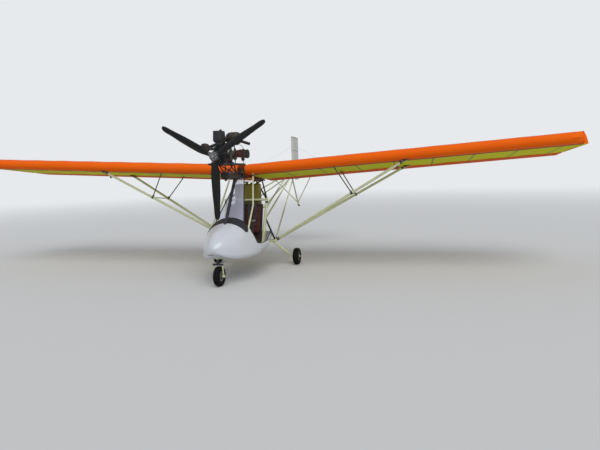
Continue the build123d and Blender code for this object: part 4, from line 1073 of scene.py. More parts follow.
lugs = solid_of(*[hinge_lug(x) for x in HINGE_X])
for word, side in SIDES:
    made = hard_piece(f"hinge_lugs_{word}", finishes["rim_alloy"], [on_side(side, *lugs)])
    bevelled(made, 0.001)
print("hinges at", np.round(HINGE_X, 3).tolist())

# %% [markdown]
# ## Cloth on the ailerons and tail
#
# These surfaces are thin and tightly laced, so the frame's own solids have the right shape.
# They have no flat pattern to follow, so this cloth takes its weave and its battens from the
# aircraft's own coordinates instead: one dark stripe for each batten along the given axis, painted shade of
# the batten seen through the cloth, over a raised ridge.

# %% Cloth by place
def placed_cloth(name, fresh, faded, stripe, axis, pitch, first, strength, width=0.014):
    """Coated polyester with a dark stripe, painted shade of a batten seen through the cloth, at first plus
    whole multiples of pitch along an axis.
    """
    material, tree, shader = new_material(name, fresh, 0.6, Specular_IOR_Level=0.03)
    place = add_node(tree, "TexCoord").outputs["Object"]
    base = clouded(tree, place, 3.1, 4.0, fresh, faded)
    along = add_node(tree, "SeparateXYZ", {"Vector": place}).outputs[axis]
    size = add_node(tree, "Math", {0: along}, operation="ABSOLUTE")
    shifted = add_node(tree, "Math", {0: size.outputs[0], 1: first}, operation="SUBTRACT")
    nearest = add_node(tree, "Math", {0: shifted.outputs[0], 1: pitch / 2}, operation="PINGPONG")
    edge = add_node(tree, "MapRange", {
        "Value": nearest.outputs[0], "From Min": width * 0.5, "From Max": width * 1.2,
        "To Min": strength, "To Max": 0.0})
    striped = add_node(tree, "Mix", {
        "Factor": edge.outputs["Result"], "A": base, "B": linear(stripe)}, data_type="RGBA")
    tree.links.new(striped.outputs["Result"], shader.inputs["Base Color"])
    weave = add_node(tree, "TexNoise", {"Vector": place, "Scale": 420.0, "Detail": 2.0})
    ridge = add_node(tree, "Bump", {
        "Height": edge.outputs["Result"], "Strength": 0.6, "Distance": 0.002})
    relief = add_node(tree, "Bump", {
        "Height": weave.outputs["Fac"], "Normal": ridge.outputs["Normal"],
        "Strength": 0.3, "Distance": 0.0004})
    tree.links.new(relief.outputs["Normal"], shader.inputs["Normal"])
    return material


# The stripe colours are painted shade of the battens seen through the cloth.
aileron_cloth = placed_cloth(
    "aileron_polyester_cloth", "E86010", "D9560D", "A8450E", "X", RIB_PITCH, ROOT_X, 0.7)
TAIL_GREYS = ("D2D3CC", "C5C6C0", "8E908C")
fin_cloth = placed_cloth("pale_grey_fin_cloth", *TAIL_GREYS, "Z", 0.30, 0.02, 0.6)
stabiliser_cloth = placed_cloth("pale_grey_stabiliser_cloth", *TAIL_GREYS, "X", 0.36, 0.07, 0.6)
COVERED = {"aileron_left": aileron_cloth, "aileron_right": aileron_cloth, "fin": fin_cloth,
           "rudder": fin_cloth, "stabiliser": stabiliser_cloth, "elevator": stabiliser_cloth}
for node_name, cloth in COVERED.items():
    repaint(node_name, cloth)
print("cloth by place on", list(COVERED))

# %% [markdown]
# ## Tyres and rims
#
# The tyres are four-ply rubber with four grooves round the tread, sipes across the shoulders
# and moulded rings on the sidewalls. A lathe form would be too plain, so the tyre is a grid
# of turn and girth whose radius is cut in by the grooves, and the cuts are real.

# %% Tyres
TYRE_R = 0.145
TYRE_HALF = 0.049
BEAD_R = 0.070
BEAD_HALF = 0.035
WIDEST_R = 0.104
GROOVES = (-0.027, -0.010, 0.010, 0.027)
GROOVE_HALF = 0.0022
GROOVE_DEEP = 0.004
SIPES = 60
FLANK_FROM = 0.72
SIDEWALL_RINGS = ((0.0012, 0.088, 0.002), (0.0010, 0.097, 0.0015))
RIM_BOLT_CIRCLE = 0.040


def tyre(name, body, node, centre):
    """Girth runs from bead to bead: straight flank, then a superellipse over the crown."""
    rows, columns = 6 * SIPES, 60
    turn = np.linspace(0, 2 * np.pi, rows, endpoint=False)[:, None]
    share = np.linspace(-1, 1, columns)
    flank = np.abs(share) > FLANK_FROM
    rise = np.clip((1 - np.abs(share)) / (1 - FLANK_FROM), 0, 1) * np.pi / 2
    angle = np.clip(share / FLANK_FROM, -1, 1) * np.pi / 2
    width = TYRE_HALF * np.sign(angle) * np.abs(np.sin(angle)) ** 0.72
    radius = WIDEST_R + (TYRE_R - WIDEST_R) * np.abs(np.cos(angle)) ** 0.62
    flank_width = BEAD_HALF + (TYRE_HALF - BEAD_HALF) * np.sin(rise)
    flank_radius = BEAD_R + (WIDEST_R - BEAD_R) * (1 - np.cos(rise)) ** 0.8
    width = np.where(flank, np.sign(share) * flank_width, width)
    radius = np.where(flank, flank_radius, radius)
    cut = np.zeros_like(width)
    for at in GROOVES:
        into = (GROOVE_HALF * 1.6 - np.abs(width - at)) / (GROOVE_HALF * 0.6)
        cut = np.maximum(cut, np.clip(into, 0, 1))
    cut = np.where(np.abs(share) < 0.6, cut * GROOVE_DEEP, 0)[None, :]
    shoulder = (np.abs(width) > 0.031) & (radius > 0.112) & ~flank
    phase = np.cos(turn * SIPES) > 0.55
    cut = cut + np.where(shoulder[None, :] & phase, 0.0022, 0.0)
    ring = sum(high * np.exp(-((radius - at) / wide) ** 2) for high, at, wide in SIDEWALL_RINGS)
    width = width + np.sign(width) * ring * flank
    grid_radius = radius[None, :] - cut
    x = np.broadcast_to(width[None, :], grid_radius.shape)
    points = np.stack([centre[0] + x, centre[1] + grid_radius * np.cos(turn),
                       centre[2] + grid_radius * np.sin(turn)], axis=-1)
    faces = grid_faces(rows, columns, wrap_rows=True, wrap_columns=True)
    made = piece(name, body, finishes["tyre_rubber"], points, faces[:, ::-1].tolist())
    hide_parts(node)
    return made


def rim_details(name, body, centre, outer_side):
    """Six bolts round the hub and a valve stem with its cap, on the outer face."""
    parts = []
    out = np.array([outer_side, 0.0, 0.0])
    for angle in np.radians(np.arange(0, 360, 60)):
        ring = np.array([0.0, math.cos(angle), math.sin(angle)]) * RIM_BOLT_CIRCLE
        parts.append(bolt(centre + out * 0.0085 + ring, out, 0.010, 0.006))
    stem = centre + out * 0.009 + [0, 0.052, 0]
    bend = [stem, stem + out * 0.014 + [0, 0.004, 0], stem + out * 0.028 + [0, 0.006, 0]]
    parts.append(round_bar(bend, 0.003, 8))
    cap = [(0.0, 0.0044), (0.010, 0.0044), (0.011, 0.0030)]
    parts.append(turned(cap, stem + out * 0.026 + [0, 0.006, 0], out, 10))
    hard_piece(name, finishes["rim_alloy"], parts, body)


WHEELS = (("nose", "nose_wheel", 1), ("left", "main_wheel_left", 1), ("right", "main_wheel_right", -1))
for word, body, outer_side in WHEELS:
    hub = np.array(JOINT_AT[f"{body}_spin"])
    tyre(f"tyre_tread_{word}", body, f"tyre_{word}", hub)
    rim_details(f"rim_fasteners_{word}", body, hub, outer_side)
print("tyres", len(WHEELS), "radius", TYRE_R)

# %% [markdown]
# ## Engine fittings
#
# The frame has the castings, the pipes and the silencers. What makes an engine look like one
# is what is bolted, clipped and plugged on: pleated filters with their clamps, plug leads,
# fuel hoses with a primer bulb, springs across the exhaust joints, cooling fins on the
# gearbox and rows of case bolts. They are thin tubes, lathe forms and hexagon heads.

# %% Engine materials
black_rubber = finishes["skid_rubber"]
filter_gauze = finish("oiled_red_filter_gauze", "74392C", "3E211C", 14, (0.7, 0.9), 1.2, 0.3,
                      Sheen_Weight=0.15)
plated = finish("zinc_plated_steel", "B4B3AC", "7C776C", 9, (0.28, 0.5), 0.8, 0.05, Metallic=0.85)
stained_brass = finish("fuel_stained_brass", "A9863F", "6C5426", 12, (0.3, 0.55), 0.8, 0.05, Metallic=0.8)
hose_amber = finish("amber_fuel_hose", "B07B30", "7F5420", 20, (0.2, 0.35), 2.0, 0.04,
                    Alpha=0.85, Coat_Weight=0.3)

# %% Engine places
PORT_Y = (0.225, 0.385)
SHAFT_Z = 1.870
CARB_Z = 1.905
CASE_FOOT_Z = 1.779


def clamp_band(centre, axis, radius, width=0.009):
    """A worm-drive clamp: a thin band with a screw housing on it."""
    axis = unit(axis)
    band = turned([(-width / 2, radius), (-width / 2, radius + 0.0012), (width / 2, radius + 0.0012),
                   (width / 2, radius)], centre, axis, 28)
    side, other = square_to(axis)
    start = np.asarray(centre) + side * (radius + 0.004) - other * 0.008
    housing = round_bar([start, start + other * 0.016], 0.0042, 8)
    return solid_of(band, housing)


def pleated_filter(centre, base, top, length, pleats=26, deep=0.004):
    """A cone whose radius waves round the axis, closed flat at both ends."""
    share = np.linspace(0, 1, 14)[:, None]
    turn = np.linspace(0, 2 * np.pi, pleats * 6, endpoint=False)[None, :]
    wave = deep * np.cos(turn * pleats) * np.clip(np.minimum(share, 1 - share) * 9, 0, 1)
    radius = base + (top - base) * share + wave + deep
    x = np.broadcast_to(centre[0] + length * share, radius.shape)
    points = np.stack([x, centre[1] + radius * np.cos(turn), centre[2] + radius * np.sin(turn)], axis=-1)
    rows, columns = radius.shape
    faces = tube_faces(rows, columns)
    return points.reshape(-1, 3), faces


def spring(start, end, radius, turns, wire=0.0016):
    """A coil spring between two hooks."""
    start, end = np.asarray(start, dtype=float), np.asarray(end, dtype=float)
    side, other = square_to(unit(end - start))
    share = np.linspace(0, 1, turns * 10)
    angle = 2 * np.pi * turns * share
    grow = np.clip(np.minimum(share, 1 - share) * 8, 0, 1)[:, None] * radius
    path = start + (end - start) * share[:, None] + grow * (
        np.cos(angle)[:, None] * side + np.sin(angle)[:, None] * other)
    return round_bar(path, wire, 6)


def bent_bar(places, count, radius, sides):
    """A tube along the smooth path through some stations."""
    return round_bar(curve_through([station(*place) for place in places], count), radius, sides)


def shaft_circle(radius, y, first, step):
    """Places on a circle round the shaft's line, from one angle in equal steps, in degrees."""
    return [station(radius * math.cos(angle), y, SHAFT_Z + radius * math.sin(angle))
            for angle in np.radians(np.arange(first, first + 360, step))]


# %% Filters, clamps and leads
filters, clamps, caps, hoses, leads, bolts, brass_parts = [], [], [], [], [], [], []
CLAMP_R = 0.0245
CARB_X = 0.170
FUEL_HOSE_R = 0.0044
# distance out to port, profile, sides
RUBBER_RINGS = (
    (0.376, [(-0.012, 0.064), (-0.002, 0.0655), (0.004, 0.060), (0.006, 0.030), (0.006, 0.0)], 32),
    (0.256, [(-0.012, 0.047), (0.006, 0.049), (0.012, 0.046)], 32),
    (0.100, [(-0.020, 0.030), (0.0, 0.031), (0.020, 0.030)], 28))
# distance behind the port, height, axis, profile, sides
UNIONS = (
    (0.0, 1.984, (0, 0, 1), [(0.0, 0.014), (0.010, 0.014), (0.012, 0.006), (0.020, 0.006)], 6),
    (0.0, 1.830, (0, 0, -1), [(0.0, 0.010), (0.012, 0.010)], 6),
    (0.028, 1.935, (0, 1, 0.2), [(0.0, 0.006), (0.022, 0.006), (0.030, 0.0045)], 10))
PLUG_CAP = [(-0.004, 0.013), (0.020, 0.013), (0.026, 0.009)]
for y in PORT_Y:
    filters.append(pleated_filter(station(0.262, y, CARB_Z), 0.045, 0.058, 0.108))
    for x, profile, sides in RUBBER_RINGS:
        caps.append(turned(profile, station(x, y, CARB_Z), (1, 0, 0), sides))
    for x in (0.247, 0.108):
        clamps.append(clamp_band(station(x, y, CARB_Z), (1, 0, 0), CLAMP_R))
    for behind, z, axis, profile, sides in UNIONS:
        brass_parts.append(turned(profile, station(CARB_X, y + behind, z), axis, sides))
    leads.append(bent_bar([(CARB_X, y, 2.002), (0.175, y + 0.01, 2.04), (0.21, 0.60, 2.03),
                           (0.17, 0.74, 1.86), (0.10, 0.86, 1.70), (0.066, 0.95, 1.645)], 40, 0.0026, 8))
    hoses.append(bent_bar([(CARB_X, y + 0.050, 1.942), (0.168, y + 0.085, 1.945), (0.20, 0.56, 1.91),
                           (0.19, 0.66, 1.84)], 28, FUEL_HOSE_R, 10))
    caps.append(turned(PLUG_CAP, station(0, y, 2.094), (0, 0, 1), 16))
    for dx in (-0.036, 0.036):
        for dy in (-0.036, 0.036):
            bolts.append(bolt(station(dx, y + dy, 2.078), (0, 0, 1), 0.013, 0.009))
    for z in (1.955, 2.016):
        for dy in (0.022, -0.022):
            bolts.append(bolt(station(-0.079, y + dy, z), (-1, 0, 0), 0.011, 0.007))

# %% Fuel pump, primer bulb and plug leads
hoses.append(bent_bar([(0.19, 0.66, 1.84), (0.16, 0.75, 1.76), (0.09, 0.86, 1.68), (0.075, 0.98, 1.60),
                       (0.085, 1.12, 1.52), (0.10, 1.22, 1.47)], 40, FUEL_HOSE_R, 10))
caps.append(turned([(-0.024, 0.020), (-0.022, 0.027), (-0.004, 0.027), (-0.003, 0.031), (0.003, 0.031),
                    (0.004, 0.027), (0.020, 0.027), (0.024, 0.020)],
                   station(0.19, 0.655, 1.84), (1, 0.2, 0.3), 24))
caps.append(turned([(-0.045, 0.006), (-0.036, 0.012), (-0.015, 0.018), (0.015, 0.018), (0.036, 0.012),
                    (0.045, 0.006)], station(0.079, 1.03, 1.575), (0.08, 0.8, -0.5), 20))
PLUG_LEADS = (
    [(0, 0.225, 2.116), (-0.03, 0.235, 2.140), (-0.098, 0.275, 2.10), (-0.105, 0.46, 2.04),
     (-0.055, 0.470, 1.975)],
    [(0, 0.385, 2.116), (-0.02, 0.415, 2.120), (-0.06, 0.452, 2.06), (-0.025, 0.470, 1.975)])
COIL_BOOT = [(0.0, 0.012), (0.028, 0.012), (0.034, 0.007)]
for places in PLUG_LEADS:
    leads.append(bent_bar(places, 36, 0.0036, 8))
    caps.append(turned(COIL_BOOT, station(*places[-1]) - [0, 0, 0.03], (0, 0, 1), 14))

# %% Springs, case bolts and gearbox
# start, end, radius, turns
SPRINGS = (((-0.050, 0.470, 2.105), (-0.118, 0.455, 2.085), 0.006, 9),
           ((-0.050, 0.540, 2.105), (-0.118, 0.505, 2.085), 0.006, 9),
           ((0.250, 0.478, 2.075), (0.208, 0.470, 2.095), 0.005, 8))
springs = [spring(station(*start), station(*end), radius, turns) for start, end, radius, turns in SPRINGS]
for spot in shaft_circle(0.062, 0.0255, 20, 45):
    bolts.append(bolt(spot, (0, -1, 0), 0.010, 0.007))
for side in (-1, 1):
    for y in (0.165, 0.235, 0.305, 0.375, 0.445):
        bolts.append(bolt(station(side * 0.102, y, SHAFT_Z + 0.007), (0, 0, 1), 0.010, 0.007))
    for y in (0.200, 0.400):
        bolts.append(bolt(station(side * 0.108, y, CASE_FOOT_Z + 0.015), (0, 0, 1), 0.017, 0.012))
FIN_RING = [(-0.0012, 0.0755), (-0.0012, 0.082), (0.0012, 0.082), (0.0012, 0.0755)]
fins = [turned(FIN_RING, station(0, 0.036 + 0.010 * k, SHAFT_Z), (0, 1, 0), 40) for k in range(7)]

# %% Recoil starter
START_Y = 0.535
START_AT = station(0, START_Y, SHAFT_Z)
cover = [turned([(0.0, 0.078), (0.004, 0.078), (0.022, 0.064), (0.024, 0.050), (0.024, 0.0)],
                START_AT, (0, 1, 0), 40)]
for angle in np.radians(np.arange(0, 360, 30)):
    spoke, side = clock_hand(angle)
    rib_at = START_AT + [0, 0.0245, 0] + spoke * 0.040
    cover.append(flat_bar(rib_at, spoke, side, 0.030, 0.006, (0, 1, 0), 0.002))
handle = START_AT + [0.086, 0.010, -0.03]
cover.append(turned([(0.0, 0.009), (0.004, 0.011), (0.030, 0.011), (0.034, 0.009)],
                    handle, (1, 0, -0.3), 16))
leads.append(round_bar([START_AT + [0.070, 0.010, -0.025], handle], 0.002, 6))

ENGINE_PIECES = (
    ("filter_gauze", filter_gauze, filters), ("hose_clamps", plated, clamps),
    ("rubber_caps", black_rubber, caps), ("fuel_hoses", hose_amber, hoses),
    ("plug_leads_and_cables", finishes["black_tube"], leads), ("exhaust_springs", plated, springs),
    ("engine_bolts", plated, bolts), ("brass_unions", stained_brass, brass_parts),
    ("gearbox_fins", finishes["engine_alloy"], fins), ("starter_cover", finishes["black_plastic"], cover))
for name, material, parts in ENGINE_PIECES:
    made = piece(name, "airframe", material, *solid_of(*parts), smooth=name in (
        "filter_gauze", "fuel_hoses", "plug_leads_and_cables", "exhaust_springs"))
print("engine pieces", len(ENGINE_PIECES), "bolts", len(bolts))

# %% [markdown]
# ## Propeller fittings
#
# Three composite blades are clamped between two hub plates by six bolts, with a nut in the
# middle, and each blade's root is held in a split aluminium ferrule with a bolt on either side.
# The blades and the hub are the frame's own.

# %% Propeller hub
HUB_FRONT_Y = -0.030
HUB_AT = station(0, 0, SHAFT_Z)
hub_bolts = [bolt(spot, (0, -1, 0), 0.013, 0.010) for spot in shaft_circle(0.046, HUB_FRONT_Y, 30, 60)]
hub_bolts.append(turned([(0.0, 0.024), (0.012, 0.024), (0.016, 0.018)],
                        station(0, -0.040, SHAFT_Z), (0, -1, 0), 6))
ferrules = []
for turned_by in (180, 60, -60):
    out = clock_hand(math.radians(turned_by))[0]
    ferrules.append(turned([(0.058, 0.030), (0.062, 0.031), (0.088, 0.029), (0.092, 0.026)],
                           HUB_AT, out, 28))
    for across in (-1, 1):
        spot = HUB_AT + out * 0.075 + np.array([0, across * 0.0285, 0])
        hub_bolts.append(bolt(spot, (0, across, 0), 0.009, 0.006))
hard_piece("hub_bolts", plated, hub_bolts, "propeller")
hard_piece("blade_ferrules", finishes["engine_alloy"], ferrules, "propeller")
print("hub bolts", len(hub_bolts))

# %% [markdown]
# ## Frame fittings
#
# Tubes alone look like a drawing. On the aircraft every joint has something that holds it:
# fork plates with a cross bolt at the head of each lift strut, clamp bands where the jury
# struts meet them, collars at the gear node, bolted ears on the boom's collars. All of them
# are placed from the same end points as the tubes.

# %% Frame points
GEAR_NODE = station(0.395, 1.515, 0.440)
STRUT_TOP_X = 2.635
STRUT_R = 0.021
SPAR_SHARES = (0.05, 0.64)
JURY_SHARE = 0.62
BOOM_Z = 1.590
BOOM_R = 0.050
SPAN_DIR = np.array([math.cos(DIHEDRAL), 0.0, math.sin(DIHEDRAL)])
BACK_DIR = np.array([0.0, math.cos(INCIDENCE), -math.sin(INCIDENCE)])
UP_DIR = np.array([0.0, math.sin(INCIDENCE), math.cos(INCIDENCE)])


def slab(centre, along, across, size):
    """A box by its centre, two edge directions and its three lengths."""
    along, across = unit(along), unit(across)
    normal = np.cross(along, across)
    length, width, thick = size
    return flat_bar(np.asarray(centre) - normal * thick / 2, along, across, length, width, normal, thick)


def collar(centre, axis, radius, width, thick):
    """A ring round a tube with softened edges."""
    half, outer, soft = width / 2, radius + thick, thick * 0.3
    return turned([(-half, radius), (-half, outer - soft), (-half + soft, outer), (half - soft, outer),
                   (half, outer - soft), (half, radius)], centre, axis, 32)


# %% Lift strut and jury strut fittings
fork_plates, dark_bands, frame_bolts = [], [], []
for share in SPAR_SHARES:
    top = wing_points(STRUT_TOP_X, share * CHORD, 0.0)
    along = unit(top - GEAR_NODE)
    cheek = unit(BACK_DIR - along * (BACK_DIR @ along))
    pad_at = wing_points(STRUT_TOP_X, share * CHORD, -0.003)
    fork_plates.append(slab(pad_at, SPAN_DIR, BACK_DIR, (0.110, 0.062, 0.004)))
    for sign in (-1, 1):
        side = cheek * sign
        cheek_at = top - along * 0.026 + side * (STRUT_R + 0.002)
        fork_plates.append(slab(cheek_at, along, np.cross(along, side), (0.080, 0.036, 0.004)))
        frame_bolts.append(bolt(top - along * 0.044 + side * (STRUT_R + 0.004), side, 0.013, 0.009))
        for reach in (-0.042, 0.042):
            spot = wing_points(STRUT_TOP_X + reach, share * CHORD + sign * 0.021, -0.005)
            frame_bolts.append(bolt(spot, -UP_DIR, 0.010, 0.006))
    dark_bands.append(collar(top - along * 0.085, along, STRUT_R, 0.026, 0.0025))
    foot = GEAR_NODE + along * 0.072
    fork_plates.append(collar(foot, along, STRUT_R, 0.052, 0.003))
    for reach in (-0.014, 0.014):
        for sign in (-1, 1):
            spot = foot + along * reach + cheek * sign * (STRUT_R + 0.003)
            frame_bolts.append(bolt(spot, cheek * sign, 0.010, 0.007))
    jury = GEAR_NODE + JURY_SHARE * (top - GEAR_NODE)
    dark_bands.append(collar(jury, along, STRUT_R, 0.034, 0.003))
    ear = unit(np.cross(along, cheek))
    ear = ear if ear[2] > 0 else -ear
    for sign in (-1, 1):
        ear_at = jury + ear * 0.032 + cheek * sign * 0.0105
        dark_bands.append(slab(ear_at, along, ear, (0.030, 0.024, 0.003)))
        frame_bolts.append(bolt(jury + ear * 0.034 + cheek * sign * 0.012, cheek * sign, 0.009, 0.006))
    jury_back = (share + 0.04 if share < 0.1 else share) * CHORD
    jury_top = wing_points((GEAR_NODE[0] + STRUT_TOP_X) / 2, jury_back, -0.0025)
    dark_bands.append(slab(jury_top, SPAN_DIR, BACK_DIR, (0.064, 0.038, 0.003)))
    for reach in (-0.024, 0.024):
        frame_bolts.append(bolt(jury_top + SPAN_DIR * reach - UP_DIR * 0.0015, -UP_DIR, 0.008, 0.005))

# %% Upright, door post and cabane fittings
UPRIGHT_TOP = station(0.366, 1.225, 1.175)
UPRIGHT_FOOT = station(0.322, 1.040, 0.480)
up = unit(UPRIGHT_TOP - UPRIGHT_FOOT)
dark_bands.append(collar(UPRIGHT_TOP - up * 0.045, up, STRUT_R, 0.030, 0.0025))


def pinned_band(at, along, size, pin, pin_axis=(1, 0, 0)):
    """A clamp band and the bolt on its outboard side."""
    dark_bands.append(collar(at, along, *size))
    frame_bolts.append(bolt(at + np.array(pin), pin_axis, 0.009, 0.006))


for end_y, end_z in ((1.760, 1.492), (2.110, 1.484)):
    along = unit(station(0.0, end_y, end_z) - UPRIGHT_TOP)
    pinned_band(UPRIGHT_TOP + along * 0.052, along, (0.013, 0.050, 0.003), (0.0145, 0, 0.006), (1, 0, 0.3))
post_bend = station(0.273, 0.784, 1.110)
post_head = station(0.185, 1.100, 1.640)
along = unit(post_head - post_bend)
pinned_band(post_head - along * 0.075, along, (0.013, 0.034, 0.0025), (0.0155, 0, 0))
for end_y, share in ((4.560, 0.0), (3.990, 0.80), (4.380, 0.52)):
    start = GEAR_NODE if share == 0.0 else UPRIGHT_FOOT + share * (UPRIGHT_TOP - UPRIGHT_FOOT)
    along = unit(station(0.0, end_y, BOOM_Z) - start)
    offset = 0.085 if share == 0.0 else 0.050
    pinned_band(start + along * offset, along, (0.014, 0.040, 0.0025), (0.016, 0, 0))

fork_all = both_sides(*fork_plates)
bands_all = both_sides(*dark_bands)
bolts_all = both_sides(*frame_bolts)

# %% Boom collars, plug and hanging bolts
for y in (0.392, 0.866):
    for sign in (-1, 1):
        ear_at = station(sign * 0.007, y, BOOM_Z - BOOM_R - 0.014)
        bands_all.append(slab(ear_at, (0, 1, 0), (0, 0, 1), (0.046, 0.024, 0.004)))
        for reach in (-0.013, 0.013):
            spot = station(sign * 0.009, y + reach, BOOM_Z - BOOM_R - 0.018)
            bolts_all.append(bolt(spot, (sign, 0, 0), 0.010, 0.007))
plug = turned([(0.0, 0.0505), (0.004, 0.0505), (0.007, 0.047), (0.008, 0.020), (0.006, 0.0)],
              station(0, 0.320, BOOM_Z), (0, -1, 0), 40)
piece("boom_plug", "airframe", black_rubber, *plug, smooth=False)
for k in range(6):
    y = 1.78 + 0.055 * k
    for sign in (-1, 1):
        bolts_all.append(bolt(station(sign * 0.007, y, 1.505), (sign, 0, 0), 0.010, 0.007))
RAIL_X = 0.120
for side in (-1, 1):
    for y in (0.095, 0.432, 0.890):
        bolts_all.append(bolt(station(side * (RAIL_X + 0.014), y, 1.765), (side, 0, 0), 0.012, 0.009))
for side in (-1, 1):
    for y in (0.200, 0.400):
        bands_all.append(turned([(0.0, 0.019), (0.002, 0.021), (0.010, 0.021), (0.012, 0.019)],
                                station(side * 0.118, y, 1.7795), (0, 0, 1), 20))
hard_piece("strut_fork_plates", finishes["fitting"], fork_all)
hard_piece("clamp_bands", finishes["black_tube"], bands_all)
hard_piece("frame_bolts", plated, bolts_all)
print("fork plates", len(fork_all), "bands", len(bands_all), "bolts", len(bolts_all))

# %% [markdown]
# ## Two-tone finishes
#
# Some pieces change colour along a line. The boom is clear anodised tube behind the wing's
# nose, and black in front of it. The coaming's rear corners are gelcoat like the pod, the nose
# fork's stem and crown are dark above its pale legs as painted shade of the pod's shadow,
# and the jury struts are dark above the pale lift struts. A plane through the aircraft's own
# coordinates masks each paint, with a soft edge.

# %% Masked paint
BOOM_PAINT_END = 1.030
FORK_SHADE_LOW = 0.309
CORNER_LINE = ((0.362, 0.745), (0.440, 0.812))


def two_tone(slot, name, colour, direction, edge, soft=0.003, metal=None):
    """A finish whose paint changes where the place's share along a direction passes an edge."""
    material = finishes[slot].copy()
    material.name = name
    tree = material.node_tree
    shader = tree.nodes["Principled BSDF"]
    place = add_node(tree, "TexCoord").outputs["Object"]
    reach = add_node(tree, "VectorMath", {0: place, 1: direction}, operation="DOT_PRODUCT")
    beyond = add_node(tree, "MapRange", {
        "Value": reach.outputs["Value"], "From Min": edge, "From Max": edge + soft})
    bare = shader.inputs["Base Color"].links[0].from_socket
    paint = add_node(tree, "Mix", {
        "Factor": beyond.outputs["Result"], "A": bare, "B": linear(colour)}, data_type="RGBA")
    tree.links.new(paint.outputs["Result"], shader.inputs["Base Color"])
    if metal is not None:
        share = add_node(tree, "MapRange", {
            "Value": beyond.outputs["Result"], "To Min": metal, "To Max": 0.0})
        tree.links.new(share.outputs["Result"], shader.inputs["Metallic"])
    return material


def above_struts(side):
    """The normal of the plane through both lift struts of one side, pointing up, and its height."""
    tops = [wing_points(STRUT_TOP_X, share * CHORD, 0.0) for share in SPAR_SHARES]
    normal = unit(np.cross(tops[0] - GEAR_NODE, tops[1] - GEAR_NODE))
    normal = normal if normal[2] > 0 else -normal
    return normal * (side, 1, 1), float(normal @ GEAR_NODE)


(corner_y, corner_z), (corner_top_y, corner_top_z) = CORNER_LINE
corner_normal = unit((0.0, corner_top_z - corner_z, corner_y - corner_top_y))
corner_edge = float(corner_normal @ station(0.0, corner_y, corner_z))
REPAINTED = {
    "boom": two_tone("boom_tube", "anodised_boom_with_black_nose", "1A1B1C", (0, -1, 0),
                     -(PROP_PLANE_Y + BOOM_PAINT_END), metal=0.75),
    # The fork's stem and crown are dark as painted shade: under the pod they lie in shadow.
    "nose_fork": two_tone("frame_tube", "cream_fork_with_painted_shade_crown", "1D1E20", (0, 0, 1), FORK_SHADE_LOW),
    "coaming": two_tone("black_plastic", "black_coaming_with_white_corners", "D0D3D9", tuple(corner_normal),
                        corner_edge),
}
for word, side in SIDES:
    normal, height = above_struts(side)
    REPAINTED[f"lift_struts_{word}"] = two_tone(
        "frame_tube", f"cream_struts_with_dark_juries_{word}", "4A4E3A", tuple(normal),
        height + STRUT_R + 0.006)
for node_name, paint in REPAINTED.items():
    repaint(node_name, paint)
repaint("propeller_hub", finish(
    "machined_hub_alloy", "8E9094", "4A4B4D", 22, (0.35, 0.6), 1.2, 0.05, Metallic=0.7))
print("repainted", list(REPAINTED))

# %% [markdown]
# ## Sewn details of the wing
#
# Each batten slides in a pocket, a strip of tape sewn to the cloth above and below, whose darker
# yellow is partly painted shade of the batten seen through the cloth. A wider tape covers the
# seam between nose and sail, held by two rows of stitches. Below the seam a wide dark brown band,
# sewn like the tapes, is painted shade under the nose's round, and a cord is sewn into the
# trailing edge. The tapes lie a millimetre above the skins and follow their slack. A dark red
# cloth, orange darkened as painted shade under the wing's centre, closes the gap between the
# sails, under the boom, and a sewn sock rounds off each wing tip.

# %% Tapes
def tape_material(name, colour, faded, thread="E9E4D2"):
    """Sewn tape: two rows of pale stitches, ten millimetres apart along the tape."""
    material, tree, shader = new_material(name, colour, 0.6, Specular_IOR_Level=0.2)
    uv = add_node(tree, "UVMap", uv_map="cloth").outputs["UV"]
    axes = add_node(tree, "SeparateXYZ", {"Vector": uv})
    place = add_node(tree, "TexCoord").outputs["Object"]
    base = clouded(tree, place, 5.0, 4.0, colour, faded)
    fold = add_node(tree, "Math", {0: axes.outputs["X"], 1: 0.5}, operation="PINGPONG")
    row = add_node(tree, "Math", {0: fold.outputs[0], 1: 0.18, 2: 0.035}, operation="COMPARE")
    step = add_node(tree, "Math", {0: axes.outputs["Y"], 1: 0.010}, operation="MODULO")
    dash = add_node(tree, "Math", {0: step.outputs[0], 1: 0.006}, operation="LESS_THAN")
    stitch = add_node(tree, "Math", {0: row.outputs[0], 1: dash.outputs[0]}, operation="MULTIPLY")
    sewn = add_node(tree, "Mix", {
        "Factor": stitch.outputs[0], "A": base, "B": linear(thread)}, data_type="RGBA")
    tree.links.new(sewn.outputs["Result"], shader.inputs["Base Color"])
    relief = add_node(tree, "Bump", {
        "Height": stitch.outputs[0], "Strength": 0.6, "Distance": 0.0006})
    tree.links.new(relief.outputs["Normal"], shader.inputs["Normal"])
    return material


def skin_height(x, back, top):
    """Height of the slack cloth, above or below, at a span and chord station."""
    drop = slack(x, 1.0) * hang_depth(back) * np.clip((upper(back) - lower(back)) / 0.05, 0, 1)
    return upper(back) - drop if top else lower(back) + drop * HANG_BELOW


def tape(x, back, top, lift, along_rows):
    """A strip on the skin: x and back are grids; along_rows says which way its stitches run."""
    height = skin_height(x, back, top) + (lift if top else -lift)
    points = wing_points(x, back, height)
    rows, columns = x.shape
    faces = grid_faces(rows, columns)
    step = np.linalg.norm(np.diff(points, axis=0), axis=2)
    run = np.concatenate([np.zeros((1, columns)), np.cumsum(step, axis=0)], axis=0)
    share = np.broadcast_to(np.linspace(0, 1, columns), run.shape)
    uv = np.stack([share, run], axis=-1).reshape(-1, 2)
    if top == along_rows:
        faces = faces[:, ::-1]
    return points.reshape(-1, 3), faces.tolist(), uv


def tape_piece(name, material, strips, side):
    """Strips of tape as one piece, with metres along and shares across in its UV map."""
    points, faces = solid_of(*[(p, f) for p, f, _ in strips])
    uv = np.vstack([u for _, _, u in strips])
    return piece(name, "airframe", material, *on_side(side, points, faces), uv=uv)


